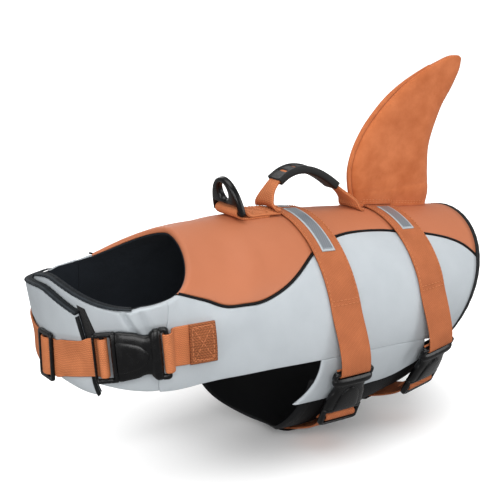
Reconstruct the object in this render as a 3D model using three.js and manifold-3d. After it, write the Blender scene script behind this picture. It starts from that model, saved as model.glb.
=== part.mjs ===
// Dog life jacket with a shark fin, shown filled out on a general barrel-chested trunk.
// X runs along the back with the head at -X, Y runs across with the left side at -Y, Z is up.
// Millimetres. The origin is on the lining under the ridge, where the wearer's back carries it.

import * as THREE from 'three';
import { mergeVertices } from 'three/addons/utils/BufferGeometryUtils.js';
import Module from 'manifold-3d';

const wasm = await Module();
wasm.setup();

// Cloth, tape and webbing
const SHELL = 4.2;
const LAYER_GAP = 0.9;
const LINING = 1.7;
const WALL = SHELL + LAYER_GAP + LINING;
const SEAM = 0.3;
const FLAP = 2.2;
const BELLY = 3;
const PIPING_RADIUS = 1.2;
const PIPING_SINK = 0.6;
const PIPING_SLOT = 2;
const WEBBING = 1.8;
const WEBBING_LIFT = 0.9;
const GIRTH_WIDTH = 34;
const CHEST_WIDTH = 34;
const BINDING_WIDTH = 6.5;
const BINDING_PROUD = 0.8;
const BINDING_GAP = 0.7;
const COLLAR_STEP = 8;
const BAR_RADIUS = 1.8;

// Half of the gap at a sewn seam, in degrees
const SEAM_ANGLE = 0.15;

// Cross-sections of the outside from the neck rim to the rear edge. Each runs from its ridge point
// to its lowest point; squareTop and squareBottom are superellipse powers, sag bows the sides down.
const SECTION_COLUMNS = [
  'ridgeX', 'ridgeZ', 'lowX', 'lowZ', 'halfWidth', 'squareTop', 'squareBottom', 'sag',
];
const SECTIONS = [
  [-138, 9, -258, -16, 83, 1.8, 2.5, 28],
  [-119, 10, -250, -67, 85, 1.9, 2.8, 26],
  [-98, 10, -237, -117, 90, 2.0, 3.0, 26],
  [-68, 10, -150, -184, 93, 2.0, 2.3, 6],
  [-30, 9, -30, -208, 95, 2.0, 2.0, 0],
  [20, 5, 20, -206, 96, 2.0, 2.0, 0],
  [70, 0, 70, -198, 94, 2.0, 2.0, 0],
  [118, -5, 116, -186, 90, 2.0, 2.0, 0],
  [207, -15, 100, -168, 81, 2.0, 2.0, 12],
].map((row) => Object.fromEntries(SECTION_COLUMNS.map((name, i) => [name, row[i]])));
const REAR = SECTIONS.length - 1;

// Seam lines: station from neck (0) to rear edge (8), angle in degrees down from the ridge.
const PIPING_LINE = smooth([
  [0, 74], [1, 72], [2.2, 69], [2.8, 66.5], [3.4, 58.5], [4.2, 41.5],
  [4.8, 32.8], [5.5, 29.4], [6.3, 30.8], [7.1, 35.8], [7.6, 44], [8, 58],
]);
const COLLAR_FOLD = smooth([[0, 87], [0.8, 99.5], [1.4, 108], [2, 121.4]]);
const BELLY_SEAM = smooth([
  [2, 121.4], [2.4, 107.5], [2.9, 100.5], [3.5, 97], [4.9, 96], [6.4, 101.5], [8, 117],
]);

// Lower and upper edges of the collar halves: angle, station.
const COLLAR_LOWER_LEFT = smooth([[121, 2], [132, 1.82], [145, 1.7], [160, 1.66], [213, 1.66]]);
const COLLAR_LOWER_RIGHT = smooth([[121, 2], [140, 1.8], [160, 1.76], [205, 1.76]]);
const COLLAR_UPPER_RIGHT = smooth([[115, 0], [140, 0.03], [160, 0.08], [180, 0.14], [205, 0.24]]);
const COLLAR_END_LEFT = 213;
const COLLAR_END_RIGHT = 205;
const COLLAR_STEP_DONE = 140;

// Belly flap and belly panel outlines: station or angle as named. The flap's front edge starts at
// the seam and sweeps forward towards its lower corner.
const FLAP_FRONT = 3.96;
const FLAP_SWEEP = 0.24;
const FLAP_LOWER = smooth([[3.7, 122], [4.3, 120], [5.1, 118.5], [5.9, 120.5], [6.6, 117.5]]);
const FLAP_REAR = 6.6;
const BELLY_FRONT = smooth([[97, 3.5], [125, 3.6], [150, 3.72], [180, 3.98], [210, 3.84], [252, 3.86]]);
const BELLY_REAR = 6.9;
const BELLY_FAR_EDGE = 100;
const BELLY_NEAR_EDGE = 252;
const BELLY_SEAM_SHARE = 0.2;

// Girth straps: x across the back, under the belly and at the buckle, angles of the buckle's middle
// and of the reflective strip's end.
const GIRTH_STRAPS = [
  { name: 'front', x: -4.5, bellyX: -2, buckleX: -3, buckleAngle: 116.5, strip: [2.5, 42] },
  { name: 'rear', x: 106.5, bellyX: 94, buckleX: 105, buckleAngle: 120.5, strip: [7, 33] },
];
const GIRTH_LEAVES = 73;
const GIRTH_LAST = 199;
const GIRTH_STEP = 5.9;
const GIRTH_REARMOST = 7.05;
const STRIP_WIDTH = 15;
const STRIP = 0.5;

// Side-release buckle: places along its length count from its middle, the female end is at -half
const BUCKLE = {
  width: 45.5, half: 32, thick: 10, slot: 3.4, rim: 4, waist: 34, waistAt: -6, shoulder: 41, split: 12.5,
};
const BUCKLE_LIFT = 7.2;

const COLOURS = {
  orangeCloth: [0xcd825a, 0.55],
  greyCloth: [0xbec4c8, 0.8],
  black: [0x121417, 0.6],
  lining: [0x11151a, 0.75],
  webbing: [0xc26c34, 0.85],
  suede: [0xc47344, 0.95],
  plastic: [0x131216, 0.3],
  rubber: [0x181a1b, 0.5],
  reflector: [0x82878c, 0.4],
};

const jacket = new THREE.Group();

function addPart(name, geometry, [colour, roughness]) {
  const material = new THREE.MeshStandardMaterial({ color: colour, roughness, metalness: 0 });
  const mesh = new THREE.Mesh(geometry, material);
  mesh.name = name;
  jacket.add(mesh);
  return mesh;
}

// Smooth curve through a short table of [at, value] rows, flat beyond its ends.
function smooth(rows) {
  const slope = (i) => {
    const before = rows[Math.max(i - 1, 0)];
    const after = rows[Math.min(i + 1, rows.length - 1)];
    return (after[1] - before[1]) / (after[0] - before[0]);
  };
  return (at) => {
    if (at <= rows[0][0]) return rows[0][1];
    if (at >= rows[rows.length - 1][0]) return rows[rows.length - 1][1];
    let i = 0;
    while (rows[i + 1][0] < at) i += 1;
    const span = rows[i + 1][0] - rows[i][0];
    const t = (at - rows[i][0]) / span;
    return hermite(rows[i][1], rows[i + 1][1], slope(i) * span, slope(i + 1) * span, t);
  };
}

function hermite(a, b, slopeA, slopeB, t) {
  const t2 = t * t;
  const t3 = t2 * t;
  const values = (2 * t3 - 3 * t2 + 1) * a + (3 * t2 - 2 * t3) * b;
  return values + (t3 - 2 * t2 + t) * slopeA + (t3 - t2) * slopeB;
}

const mix = THREE.MathUtils.lerp;
const ease = (value) => THREE.MathUtils.smoothstep(value, 0, 1);

// Section values at a station between two rows of the table
function sectionAt(station) {
  const i = Math.min(Math.floor(THREE.MathUtils.clamp(station, 0, REAR)), REAR - 1);
  const t = station - i;
  const rows = [Math.max(i - 1, 0), i, i + 1, Math.min(i + 2, REAR)].map((row) => SECTIONS[row]);
  const section = {};
  for (const name of SECTION_COLUMNS) {
    const [before, a, b, after] = rows.map((row) => row[name]);
    const slopeA = i > 0 ? (b - before) / 2 : b - a;
    const slopeB = i + 2 <= REAR ? (after - a) / 2 : b - a;
    section[name] = hermite(a, b, slopeA, slopeB, t);
  }
  return section;
}

// Point of the outside: angle 0 is the ridge, +180 or -180 the lowest line, negative is the left.
function outside(station, angle) {
  const s = sectionAt(station);
  const radians = THREE.MathUtils.degToRad(angle);
  const power = 2 / mix(s.squareTop, s.squareBottom, 0.5 - 0.5 * Math.cos(radians));
  const c = Math.sign(Math.cos(radians)) * Math.abs(Math.cos(radians)) ** power;
  const w = Math.sign(Math.sin(radians)) * Math.abs(Math.sin(radians)) ** power;
  const halfX = (s.ridgeX - s.lowX) / 2;
  const halfZ = (s.ridgeZ - s.lowZ) / 2;
  const sag = (s.sag * Math.abs(w) ** 1.5) / Math.hypot(halfX, halfZ);
  return new THREE.Vector3(
    (s.ridgeX + s.lowX) / 2 + halfX * c + halfZ * sag,
    s.halfWidth * w,
    (s.ridgeZ + s.lowZ) / 2 + halfZ * c - halfX * sag,
  );
}

function slopes(station, angle) {
  const step = 0.01;
  const a = Math.max(station - step, 0);
  const b = Math.min(station + step, REAR);
  const alongStation = outside(b, angle).sub(outside(a, angle)).divideScalar(b - a);
  const alongAngle = outside(station, angle + 0.05).sub(outside(station, angle - 0.05)).divideScalar(0.1);
  return { alongStation, alongAngle };
}

function outwardAt(station, angle) {
  const { alongStation, alongAngle } = slopes(station, angle);
  return alongStation.cross(alongAngle).normalize();
}

// Point on a piece: on the outside, moved out by a lift or in by a negative one.
function point(station, angle, lift) {
  return outside(station, angle).addScaledVector(outwardAt(station, angle), lift);
}

// Angle that lies a distance in mm beside a seam line, measured square to the line
function beside(line, station, distance) {
  const angle = line(station);
  const { alongStation, alongAngle } = slopes(station, angle);
  const turn = (line(station + 0.02) - line(station - 0.02)) / 0.04;
  const lean = (turn * alongAngle.length()) / alongStation.length();
  return angle + (distance * Math.hypot(1, lean)) / alongAngle.length();
}

// Station that lies a distance in mm in front of the rear edge
function beforeRear(angle, distance) {
  return REAR - distance / slopes(REAR, angle).alongStation.length();
}

function belowNeck(angle, distance) {
  return distance / slopes(0, angle).alongStation.length();
}

// Station where a line of constant angle reaches a given x or z
function stationWhere(angle, axis, value, low, high) {
  let a = low;
  let b = high;
  const rising = outside(b, angle)[axis] > outside(a, angle)[axis];
  for (let i = 0; i < 30; i += 1) {
    const middle = (a + b) / 2;
    if (outside(middle, angle)[axis] < value === rising) a = middle;
    else b = middle;
  }
  return (a + b) / 2;
}

const steps = (count) => Array.from({ length: count + 1 }, (_, i) => i / count);

function range(from, to, step) {
  const count = Math.round((to - from) / step);
  return steps(count).map((s) => mix(from, to, s));
}

// Closed body between the two faces of a piece. place(s, t, face) gives the point for s and t from
// 0 to 1 on face 0 or 1.
function slab(columns, rows, place) {
  const across = Array.isArray(columns) ? columns : steps(columns);
  const down = Array.isArray(rows) ? rows : steps(rows);
  const wide = across.length;
  const tall = down.length;
  const positions = [];
  for (const face of [0, 1]) {
    for (const t of down) {
      for (const s of across) positions.push(...place(s, t, face).toArray());
    }
  }
  const at = (i, j, face) => face * wide * tall + j * wide + i;
  const index = [];
  const quad = (a, b, c, d) => index.push(a, b, c, a, c, d);
  for (let j = 0; j < tall - 1; j += 1) {
    for (let i = 0; i < wide - 1; i += 1) {
      quad(at(i, j, 0), at(i + 1, j, 0), at(i + 1, j + 1, 0), at(i, j + 1, 0));
      quad(at(i, j, 1), at(i, j + 1, 1), at(i + 1, j + 1, 1), at(i + 1, j, 1));
    }
  }
  for (let i = 0; i < wide - 1; i += 1) {
    quad(at(i + 1, 0, 0), at(i, 0, 0), at(i, 0, 1), at(i + 1, 0, 1));
    quad(at(i, tall - 1, 0), at(i + 1, tall - 1, 0), at(i + 1, tall - 1, 1), at(i, tall - 1, 1));
  }
  for (let j = 0; j < tall - 1; j += 1) {
    quad(at(0, j, 0), at(0, j + 1, 0), at(0, j + 1, 1), at(0, j, 1));
    quad(at(wide - 1, j + 1, 0), at(wide - 1, j, 0), at(wide - 1, j, 1), at(wide - 1, j + 1, 1));
  }
  return closedGeometry(positions, index);
}

// Geometry with its faces turned outwards
function closedGeometry(positions, index) {
  const corner = (i) => new THREE.Vector3().fromArray(positions, 3 * index[i]);
  let volume = 0;
  for (let i = 0; i < index.length; i += 3) volume += corner(i).dot(corner(i + 1).cross(corner(i + 2)));
  const turned = volume > 0 ? index : index.map((_, i) => index[i - (i % 3) + 2 - (i % 3)]);
  const geometry = new THREE.BufferGeometry();
  geometry.setAttribute('position', new THREE.Float32BufferAttribute(positions, 3));
  geometry.setIndex(turned);
  geometry.computeVertexNormals();
  return geometry;
}

// Flat band through stations, each a row of { p, n }: points across the band and their directions out
function band(stations, thickness) {
  const last = stations.length - 1;
  const rows = stations[0].length - 1;
  return slab(last, rows, (s, t, face) => {
    const { p, n } = stations[Math.round(s * last)][Math.round(t * rows)];
    return p.clone().addScaledVector(n, face ? -thickness / 2 : thickness / 2);
  });
}

// Point of the outside for a band, with its direction out
function onBody(station, angle, lift) {
  return { p: point(station, angle, lift), n: outwardAt(station, angle) };
}

// Back, sides and lining

// Close columns where the front of the sides turns in, wider ones along the trunk
const BODY_COLUMNS = [...range(0, 3, 0.25), ...range(3.4, 7, 0.4), 7.35, 7.7, 8].map((u) => u / REAR);

const lowerEdge = (station) => (station < 2 ? COLLAR_FOLD(station) : BELLY_SEAM(station));

// Station and angle of a body panel between two lines, ending where the rear binding starts
function bodyPlace(s, t, upper, lower, endGap) {
  let station = s * REAR;
  let angle = 0;
  for (let i = 0; i < 4; i += 1) {
    angle = mix(upper(station), lower(station), t);
    if (s * REAR > 7) station = mix(7, beforeRear(angle, endGap), s * REAR - 7);
  }
  return [station, angle];
}

function bodyPanel(columns, rows, upper, lower, liftOut, liftIn) {
  return slab(columns, rows, (s, t, face) => {
    const [station, angle] = bodyPlace(s, t, upper, lower, BINDING_WIDTH + BINDING_GAP);
    return point(station, angle, face ? liftIn : liftOut);
  });
}

const besidePiping = (side, distance) => (station) => side * beside(PIPING_LINE, station, distance);
const aboveLowerSeam = (side) => (station) => side * (lowerEdge(station) - SEAM_ANGLE);

addPart(
  'back_panel',
  bodyPanel(BODY_COLUMNS, 12, besidePiping(-1, -PIPING_SLOT), besidePiping(1, -PIPING_SLOT), 0, -SHELL),
  COLOURS.orangeCloth,
);

for (const [sideName, side] of [['left', -1], ['right', 1]]) {
  addPart(
    `side_panel_${sideName}`,
    bodyPanel(BODY_COLUMNS, 8, besidePiping(side, PIPING_SLOT), aboveLowerSeam(side), 0, -SHELL),
    COLOURS.greyCloth,
  );
}

addPart(
  'lining_body',
  bodyPanel(BODY_COLUMNS, 18, aboveLowerSeam(-1), aboveLowerSeam(1), -SHELL - LAYER_GAP, -WALL),
  COLOURS.lining,
);

// Piping half sunk in the slot between back and side panels

function pipingTube(side) {
  const path = new THREE.CatmullRomCurve3(
    steps(48).map((s) => {
      const [station, angle] = bodyPlace(s, 0, PIPING_LINE, PIPING_LINE, BINDING_WIDTH + 2);
      return point(station, side * angle, -PIPING_SINK);
    }),
  );
  return tube(path, PIPING_RADIUS, 40, 6);
}

function tube(path, radius, count, sides) {
  const outline = new THREE.Shape();
  for (let i = 0; i < sides; i += 1) {
    const turn = (2 * Math.PI * i) / sides;
    if (i === 0) outline.moveTo(radius, 0);
    else outline.lineTo(radius * Math.cos(turn), radius * Math.sin(turn));
  }
  outline.closePath();
  return new THREE.ExtrudeGeometry(outline, { steps: count, extrudePath: path, bevelEnabled: false });
}

addPart('piping_left', pipingTube(-1), COLOURS.black);
addPart('piping_right', pipingTube(1), COLOURS.black);

// Tape folded over the rear edge

const REAR_CORNER = BELLY_SEAM(REAR);
addPart(
  'rear_binding',
  slab(40, 1, (s, t, face) => {
    const angle = mix(-REAR_CORNER, REAR_CORNER, s);
    const station = beforeRear(angle, t * BINDING_WIDTH);
    return point(station, angle, face ? -WALL - SEAM - 0.2 : BINDING_PROUD);
  }),
  COLOURS.black,
);

// Collar halves cross at the chest, the right one outside. Angles count from the wearer's ridge
// down the half's own side and on past the chest.

function collarLift(half, station, angle) {
  if (half.side < 0) return 0;
  const start = COLLAR_FOLD(station);
  return COLLAR_STEP * ease((angle - start) / (COLLAR_STEP_DONE - start));
}

const COLLAR_HALVES = [
  { name: 'left', side: -1, end: COLLAR_END_LEFT, lower: COLLAR_LOWER_LEFT, upper: () => 0 },
  { name: 'right', side: 1, end: COLLAR_END_RIGHT, lower: COLLAR_LOWER_RIGHT, upper: COLLAR_UPPER_RIGHT },
];
const COLLAR_COLUMNS = 12;
const BINDING_FROM = 3 / COLLAR_COLUMNS;
const COLLAR_BINDING_TALL = 2.6;
const COLLAR_BINDING_GAP = 0.6;

// s runs round the half from the fold, t from the upper to the lower edge
function collarPlace(half, s, t) {
  let angle = mix(100, half.end, s);
  let station = t * 1.7;
  for (let i = 0; i < 8; i += 1) {
    const bound = THREE.MathUtils.clamp((s - BINDING_FROM) * COLLAR_COLUMNS + 1, 0, 1);
    const bindingTall = bound * (COLLAR_BINDING_TALL + COLLAR_BINDING_GAP);
    const top = half.upper(angle) + belowNeck(half.side * angle, bindingTall);
    station = mix(top, half.lower(angle), t);
    angle = mix(COLLAR_FOLD(station) + SEAM_ANGLE, half.end, s);
  }
  return [station, angle];
}

function collarSlab(half, liftOut, liftIn) {
  return slab(COLLAR_COLUMNS, 8, (s, t, face) => {
    const [station, angle] = collarPlace(half, s, t);
    return point(station, half.side * angle, collarLift(half, station, angle) + (face ? liftIn : liftOut));
  });
}

function collarBinding(half) {
  return slab(COLLAR_COLUMNS * (1 - BINDING_FROM), 1, (s, t, face) => {
    const angle = mix(COLLAR_FOLD(0) + SEAM_ANGLE, half.end, mix(BINDING_FROM, 1, s));
    const station = half.upper(angle) + belowNeck(half.side * angle, t * COLLAR_BINDING_TALL);
    return point(station, half.side * angle, collarLift(half, station, angle) + (face ? -WALL : 0.2));
  });
}

for (const half of COLLAR_HALVES) {
  addPart(`collar_${half.name}`, collarSlab(half, 0, -SHELL), COLOURS.greyCloth);
  addPart(`lining_collar_${half.name}`, collarSlab(half, -SHELL - LAYER_GAP, -WALL), COLOURS.lining);
  addPart(`collar_binding_${half.name}`, collarBinding(half), COLOURS.black);
}

// Touch-fastener pad on the left half, partly under the end of the right half
const PAD = { top: 0.2, bottom: 0.85, nearTop: 151, nearBottom: 146, far: 157, thick: 0.6 };
addPart(
  'collar_fastener',
  slab(5, 5, (s, t, face) => {
    const angle = mix(mix(PAD.nearTop, PAD.nearBottom, t), PAD.far, s);
    return point(mix(PAD.top, PAD.bottom, t), -angle, SEAM + (face ? 0 : PAD.thick));
  }),
  COLOURS.black,
);

// Belly flaps and panel

for (const [sideName, side] of [['left', -1], ['right', 1]]) {
  addPart(
    `belly_flap_${sideName}`,
    slab(14, 6, (s, t, face) => {
      const station = mix(FLAP_FRONT - FLAP_SWEEP * t ** 2, FLAP_REAR, s);
      const angle = mix(BELLY_SEAM(station) + SEAM_ANGLE, FLAP_LOWER(station), t);
      return point(station, side * angle, face ? -FLAP : 0);
    }),
    COLOURS.greyCloth,
  );
}

addPart(
  'belly_panel',
  slab(10, 16, (s, t, face) => {
    let angle = mix(BELLY_FAR_EDGE, BELLY_NEAR_EDGE, t);
    const station = mix(BELLY_FRONT(angle), BELLY_REAR, s);
    if (t < BELLY_SEAM_SHARE) angle = mix(BELLY_SEAM(station) + SEAM_ANGLE, angle, t / BELLY_SEAM_SHARE);
    return point(station, angle, -FLAP - SEAM - (face ? BELLY : 0));
  }),
  COLOURS.black,
);

// Side-release buckles. Local X is across the webbing, Y along it from the female end to the male
// end, Z outwards.

function roundedFrame(halfWidth, from, to, slots) {
  const shape = new THREE.Shape();
  const r = 3;
  shape.moveTo(-halfWidth + r, from);
  shape.lineTo(halfWidth - r, from);
  shape.absarc(halfWidth - r, from + r, r, -Math.PI / 2, 0);
  shape.lineTo(halfWidth, to - r);
  shape.absarc(halfWidth - r, to - r, r, 0, Math.PI / 2);
  shape.lineTo(-halfWidth + r, to);
  shape.absarc(-halfWidth + r, to - r, r, Math.PI / 2, Math.PI);
  shape.lineTo(-halfWidth, from + r);
  shape.absarc(-halfWidth + r, from + r, r, Math.PI, 1.5 * Math.PI);
  for (const [a, b, half] of slots) {
    const hole = new THREE.Path();
    hole.moveTo(-half, a);
    hole.lineTo(-half, b);
    hole.lineTo(half, b);
    hole.lineTo(half, a);
    hole.closePath();
    shape.holes.push(hole);
  }
  return shape;
}

// Plate centred on its own plane, with a small bevel
function plate(shape, thickness, bevel = 0) {
  const geometry = new THREE.ExtrudeGeometry(shape, {
    depth: thickness - 2 * bevel,
    bevelEnabled: bevel > 0,
    bevelThickness: bevel,
    bevelSize: bevel,
    bevelOffset: -bevel,
    bevelSegments: 1,
    curveSegments: 3,
  });
  return geometry.translate(0, 0, bevel - thickness / 2);
}

function toManifold(geometry) {
  const bare = geometry.clone();
  bare.deleteAttribute('normal');
  bare.deleteAttribute('uv');
  const merged = mergeVertices(bare, 1e-4);
  return new wasm.Manifold(
    new wasm.Mesh({
      numProp: 3,
      vertProperties: new Float32Array(merged.attributes.position.array),
      triVerts: new Uint32Array(merged.index.array),
    }),
  );
}

function fromManifold(solid) {
  const { vertProperties, triVerts } = solid.getMesh();
  return closedGeometry(Array.from(vertProperties), Array.from(triVerts));
}

function joined(...geometries) {
  return fromManifold(geometries.map(toManifold).reduce((a, b) => a.add(b)));
}

// Outline of the female half's body, drawn in to a waist
function waistedOutline(from, to) {
  const end = BUCKLE.width / 2 - 2;
  const waist = BUCKLE.waist / 2;
  const shoulder = BUCKLE.shoulder / 2;
  const belowWaist = (BUCKLE.waistAt + from) / 2;
  const aboveWaist = (BUCKLE.waistAt + to) / 2;
  const shape = new THREE.Shape();
  shape.moveTo(-end, from);
  shape.lineTo(end, from);
  shape.quadraticCurveTo(waist, belowWaist, waist, BUCKLE.waistAt);
  shape.quadraticCurveTo(waist, aboveWaist, shoulder, to);
  shape.lineTo(-shoulder, to);
  shape.quadraticCurveTo(-waist, aboveWaist, -waist, BUCKLE.waistAt);
  shape.quadraticCurveTo(-waist, belowWaist, -end, from);
  return shape;
}

function blockOutline(halfWidth, from, to) {
  const shape = new THREE.Shape();
  shape.moveTo(-halfWidth, from);
  shape.lineTo(halfWidth, from);
  shape.lineTo(halfWidth, to);
  shape.lineTo(-halfWidth, to);
  return shape;
}

const FEMALE_BAR = -BUCKLE.half + BAR_RADIUS;
const MALE_BAR = BUCKLE.half - 8.5;
const MALE_INNER_SLOT = 5;
const MALE_OUTER_SLOT = 4.4;
const SLOT_HALF = BUCKLE.width / 2 - 4.5;

function buckleFemale() {
  const slotStart = FEMALE_BAR + BAR_RADIUS;
  const slotEnd = slotStart + BUCKLE.slot;
  const hole = [slotStart, slotEnd, SLOT_HALF];
  const ring = roundedFrame(BUCKLE.width / 2, -BUCKLE.half, slotEnd + BUCKLE.rim, [hole]);
  const body = waistedOutline(slotEnd + 1, BUCKLE.split - SEAM);
  return joined(plate(ring, 2 * BAR_RADIUS, 1), plate(body, BUCKLE.thick, 1.5));
}

function buckleMale() {
  const innerSlot = MALE_BAR - BAR_RADIUS - MALE_INNER_SLOT;
  const outerSlot = MALE_BAR + BAR_RADIUS;
  const holes = [
    [innerSlot, innerSlot + MALE_INNER_SLOT, SLOT_HALF],
    [outerSlot, outerSlot + MALE_OUTER_SLOT, SLOT_HALF],
  ];
  const frame = roundedFrame(BUCKLE.width / 2 - 0.5, BUCKLE.split + 0.2, BUCKLE.half, holes);
  const body = blockOutline(BUCKLE.shoulder / 2, BUCKLE.split, innerSlot - 0.5);
  return joined(plate(frame, 2 * BAR_RADIUS, 1), plate(body, BUCKLE.thick, 1.5));
}

function basis(centre, along, outward) {
  const y = along.clone().normalize();
  const z = outward.clone().addScaledVector(y, -outward.dot(y)).normalize();
  return new THREE.Matrix4().makeBasis(y.clone().cross(z), y, z).setPosition(centre);
}

function addBuckle(name, frame) {
  addPart(`${name}_female`, buckleFemale(), COLOURS.plastic).applyMatrix4(frame);
  addPart(`${name}_male`, buckleMale(), COLOURS.plastic).applyMatrix4(frame);
}

// Band stations along a line of [along, out] points in a buckle's frame, at shares of the half width
function inFrame(frame, half, line, shares) {
  return line.map(([along, out], i) => {
    const before = line[Math.max(i - 1, 0)];
    const after = line[Math.min(i + 1, line.length - 1)];
    const n = new THREE.Vector3(0, after[1] - before[1], before[0] - after[0]);
    n.transformDirection(frame);
    return shares.map((share) => share * half).map((across) => ({
      p: new THREE.Vector3(across, along, out).applyMatrix4(frame),
      n,
    }));
  });
}

const middleOf = (station) => station[0].p.clone().lerp(station[station.length - 1].p, 0.5);

// Lean of webbing between a bar and the body, in a buckle's frame
function leanTo(frame, bar, station) {
  const local = middleOf(station).applyMatrix4(frame.clone().invert());
  return Math.atan2(-local.z, Math.abs(local.y - bar));
}

const LOOP_RADIUS = BAR_RADIUS + 0.5 + WEBBING / 2;
const TAIL = [9, 4];
const LOOP_STEPS = 5;

// Tail, round the female bar and away to the body station
function femaleLoop(frame, half, shares, station) {
  const lean = leanTo(frame, FEMALE_BAR, station);
  const line = TAIL.map((back) => [
    FEMALE_BAR + LOOP_RADIUS * Math.sin(lean) - back * Math.cos(lean),
    -LOOP_RADIUS * Math.cos(lean) - back * Math.sin(lean),
  ]);
  for (let i = 0; i <= LOOP_STEPS; i += 1) {
    const turn = lean - Math.PI / 2 + (i * Math.PI) / LOOP_STEPS;
    line.push([FEMALE_BAR + LOOP_RADIUS * Math.cos(turn), LOOP_RADIUS * Math.sin(turn)]);
  }
  return inFrame(frame, half, line, shares);
}

// From the body under the end of the male frame, up through its outer slot, over the bar and
// down through its inner slot. Columns: distance past the bar, height.
const MALE_LOOP = [
  [8.8, -3.9], [5.4, -2.9], [3.5, -0.6], [2.6, 1.9], [0, 3.2], [-2.3, 2.3], [-3.2, 0],
  [-3, -2.8], [-0.5, -5.4], [4, -6.9], [9, -9],
];

function maleLoop(frame, half, shares) {
  return inFrame(frame, half, MALE_LOOP.map(([past, out]) => [MALE_BAR + past, out]), shares);
}

// Girth straps: from the left female buckle end over the back, down the right side, under the
// belly and back up to the male buckle end

const GIRTH_SHARES = [1, 0, -1];

// Angles over which a strap drifts to its buckle, drifts under the belly and sinks onto the belly panel
const DRIFT_LEFT = [60, 100];
const DRIFT_BELLY = [95, 140];
const SINK = [122, 136];
const easeOver = (value, [from, to]) => ease((value - from) / (to - from));

function girthStation(strap, angle) {
  const onBack = mix(strap.x, strap.buckleX, easeOver(-angle, DRIFT_LEFT));
  const x = mix(onBack, strap.bellyX, easeOver(angle, DRIFT_BELLY));
  const lift = WEBBING_LIFT + WEBBING / 2 - (FLAP - 0.1) * easeOver(angle, SINK);
  const rearmost = angle > 130 ? GIRTH_REARMOST : REAR;
  return GIRTH_SHARES.map((share) =>
    onBody(stationWhere(angle, 'x', x - (share * GIRTH_WIDTH) / 2, 2.5, rearmost), angle, lift),
  );
}

function girthFrame(strap) {
  const angle = -strap.buckleAngle;
  const station = stationWhere(angle, 'x', strap.buckleX, 2.5, REAR);
  const out = outwardAt(station, angle);
  const down = slopes(station, angle).alongAngle.multiplyScalar(-1).setX(0);
  return basis(outside(station, angle).addScaledVector(out, BUCKLE_LIFT), down, out);
}

for (const strap of GIRTH_STRAPS) {
  const frame = girthFrame(strap);
  addBuckle(`girth_buckle_${strap.name}`, frame);
  const over = range(-GIRTH_LEAVES, GIRTH_LAST, GIRTH_STEP).map((angle) => girthStation(strap, angle));
  const stations = [
    ...femaleLoop(frame, GIRTH_WIDTH / 2, GIRTH_SHARES, over[0]),
    ...over,
    ...maleLoop(frame, GIRTH_WIDTH / 2, GIRTH_SHARES),
  ];
  addPart(`girth_strap_${strap.name}`, band(stations, WEBBING), COLOURS.webbing);
  for (const [sideName, side] of [['left', -1], ['right', 1]]) {
    const lift = WEBBING_LIFT + WEBBING + SEAM + STRIP / 2;
    const strip = steps(8).map((s) =>
      [-STRIP_WIDTH / 2, STRIP_WIDTH / 2].map((offset) => {
        const angle = side * mix(...strap.strip, s);
        return onBody(stationWhere(angle, 'x', strap.x + offset, 2.5, REAR), angle, lift);
      }),
    );
    addPart(`reflector_${strap.name}_${sideName}`, band(strip, STRIP), COLOURS.reflector);
  }
}

// Chest strap: a doubled tab sewn to the left side, a buckle that cuts the corner, then the strap
// over the outer collar half and round to the right side

const CHEST_AXIS_X = -150;
const CHEST_HEIGHT = smooth([
  [-275, -70], [-230, -73], [-182, -84], [-150, -76], [-120, -70], [-85, -70],
]);
const CHEST_SHARES = [1, 0.5, 0, -0.5, -1];

// Station and angle of the outside at a bearing about the chest's upright axis and a height
function atBearing(bearing, height, from) {
  const turn = THREE.MathUtils.degToRad(bearing);
  const miss = ([u, angle]) => {
    const p = outside(u, angle);
    return [p.z - height, (p.x - CHEST_AXIS_X) * Math.sin(turn) - p.y * Math.cos(turn)];
  };
  let at = from;
  for (let i = 0; i < 20; i += 1) {
    const [f, g] = miss(at);
    const [fu, gu] = miss([at[0] + 0.001, at[1]]).map((v, k) => (v - [f, g][k]) / 0.001);
    const [fa, ga] = miss([at[0], at[1] + 0.01]).map((v, k) => (v - [f, g][k]) / 0.01);
    const scale = fu * ga - fa * gu;
    const stepU = THREE.MathUtils.clamp((f * ga - fa * g) / scale, -0.2, 0.2);
    const stepAngle = THREE.MathUtils.clamp((fu * g - f * gu) / scale, -5, 5);
    at = [THREE.MathUtils.clamp(at[0] - stepU, 0, REAR), at[1] - stepAngle];
  }
  return at;
}

// Band stations at a list of bearings, upper edge first
function chestStations(bearings, extra) {
  const found = CHEST_SHARES.map(() => [1.2, -100]);
  return bearings.map((bearing) =>
    CHEST_SHARES.map((share, k) => {
      found[k] = atBearing(bearing, CHEST_HEIGHT(bearing) + (share * CHEST_WIDTH) / 2, found[k]);
      const [station, angle] = found[k];
      const collar = collarLift(COLLAR_HALVES[1], station, 360 + angle);
      const lift = angle < -150 ? Math.max(collar, 0) : 0;
      return onBody(station, angle, lift + extra);
    }),
  );
}

const CHEST_FEMALE_END = new THREE.Vector3(-195.5, -98.5, -69);
const CHEST_MALE_END = new THREE.Vector3(-249, -62.5, -74);
const chestAlong = CHEST_MALE_END.clone().sub(CHEST_FEMALE_END);
const chestFrame = basis(
  CHEST_FEMALE_END.clone().lerp(CHEST_MALE_END, 0.5),
  chestAlong,
  new THREE.Vector3(chestAlong.y, chestAlong.x, 0).multiply(new THREE.Vector3(-1, 1, 1)),
);
addBuckle('chest_buckle', chestFrame);

const CHEST_MIDDLE = 0.7 + WEBBING / 2;
const tab = chestStations(range(-88, -112, -4), CHEST_MIDDLE);
const tabLoop = femaleLoop(chestFrame, CHEST_WIDTH / 2, CHEST_SHARES, tab[tab.length - 1]);
addPart('chest_tab', band([...tabLoop, ...tab.slice().reverse()], WEBBING), COLOURS.webbing);
addPart(
  'chest_patch',
  band(chestStations(range(-88, -104, -4), CHEST_MIDDLE + WEBBING + SEAM), WEBBING),
  COLOURS.webbing,
);

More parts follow.
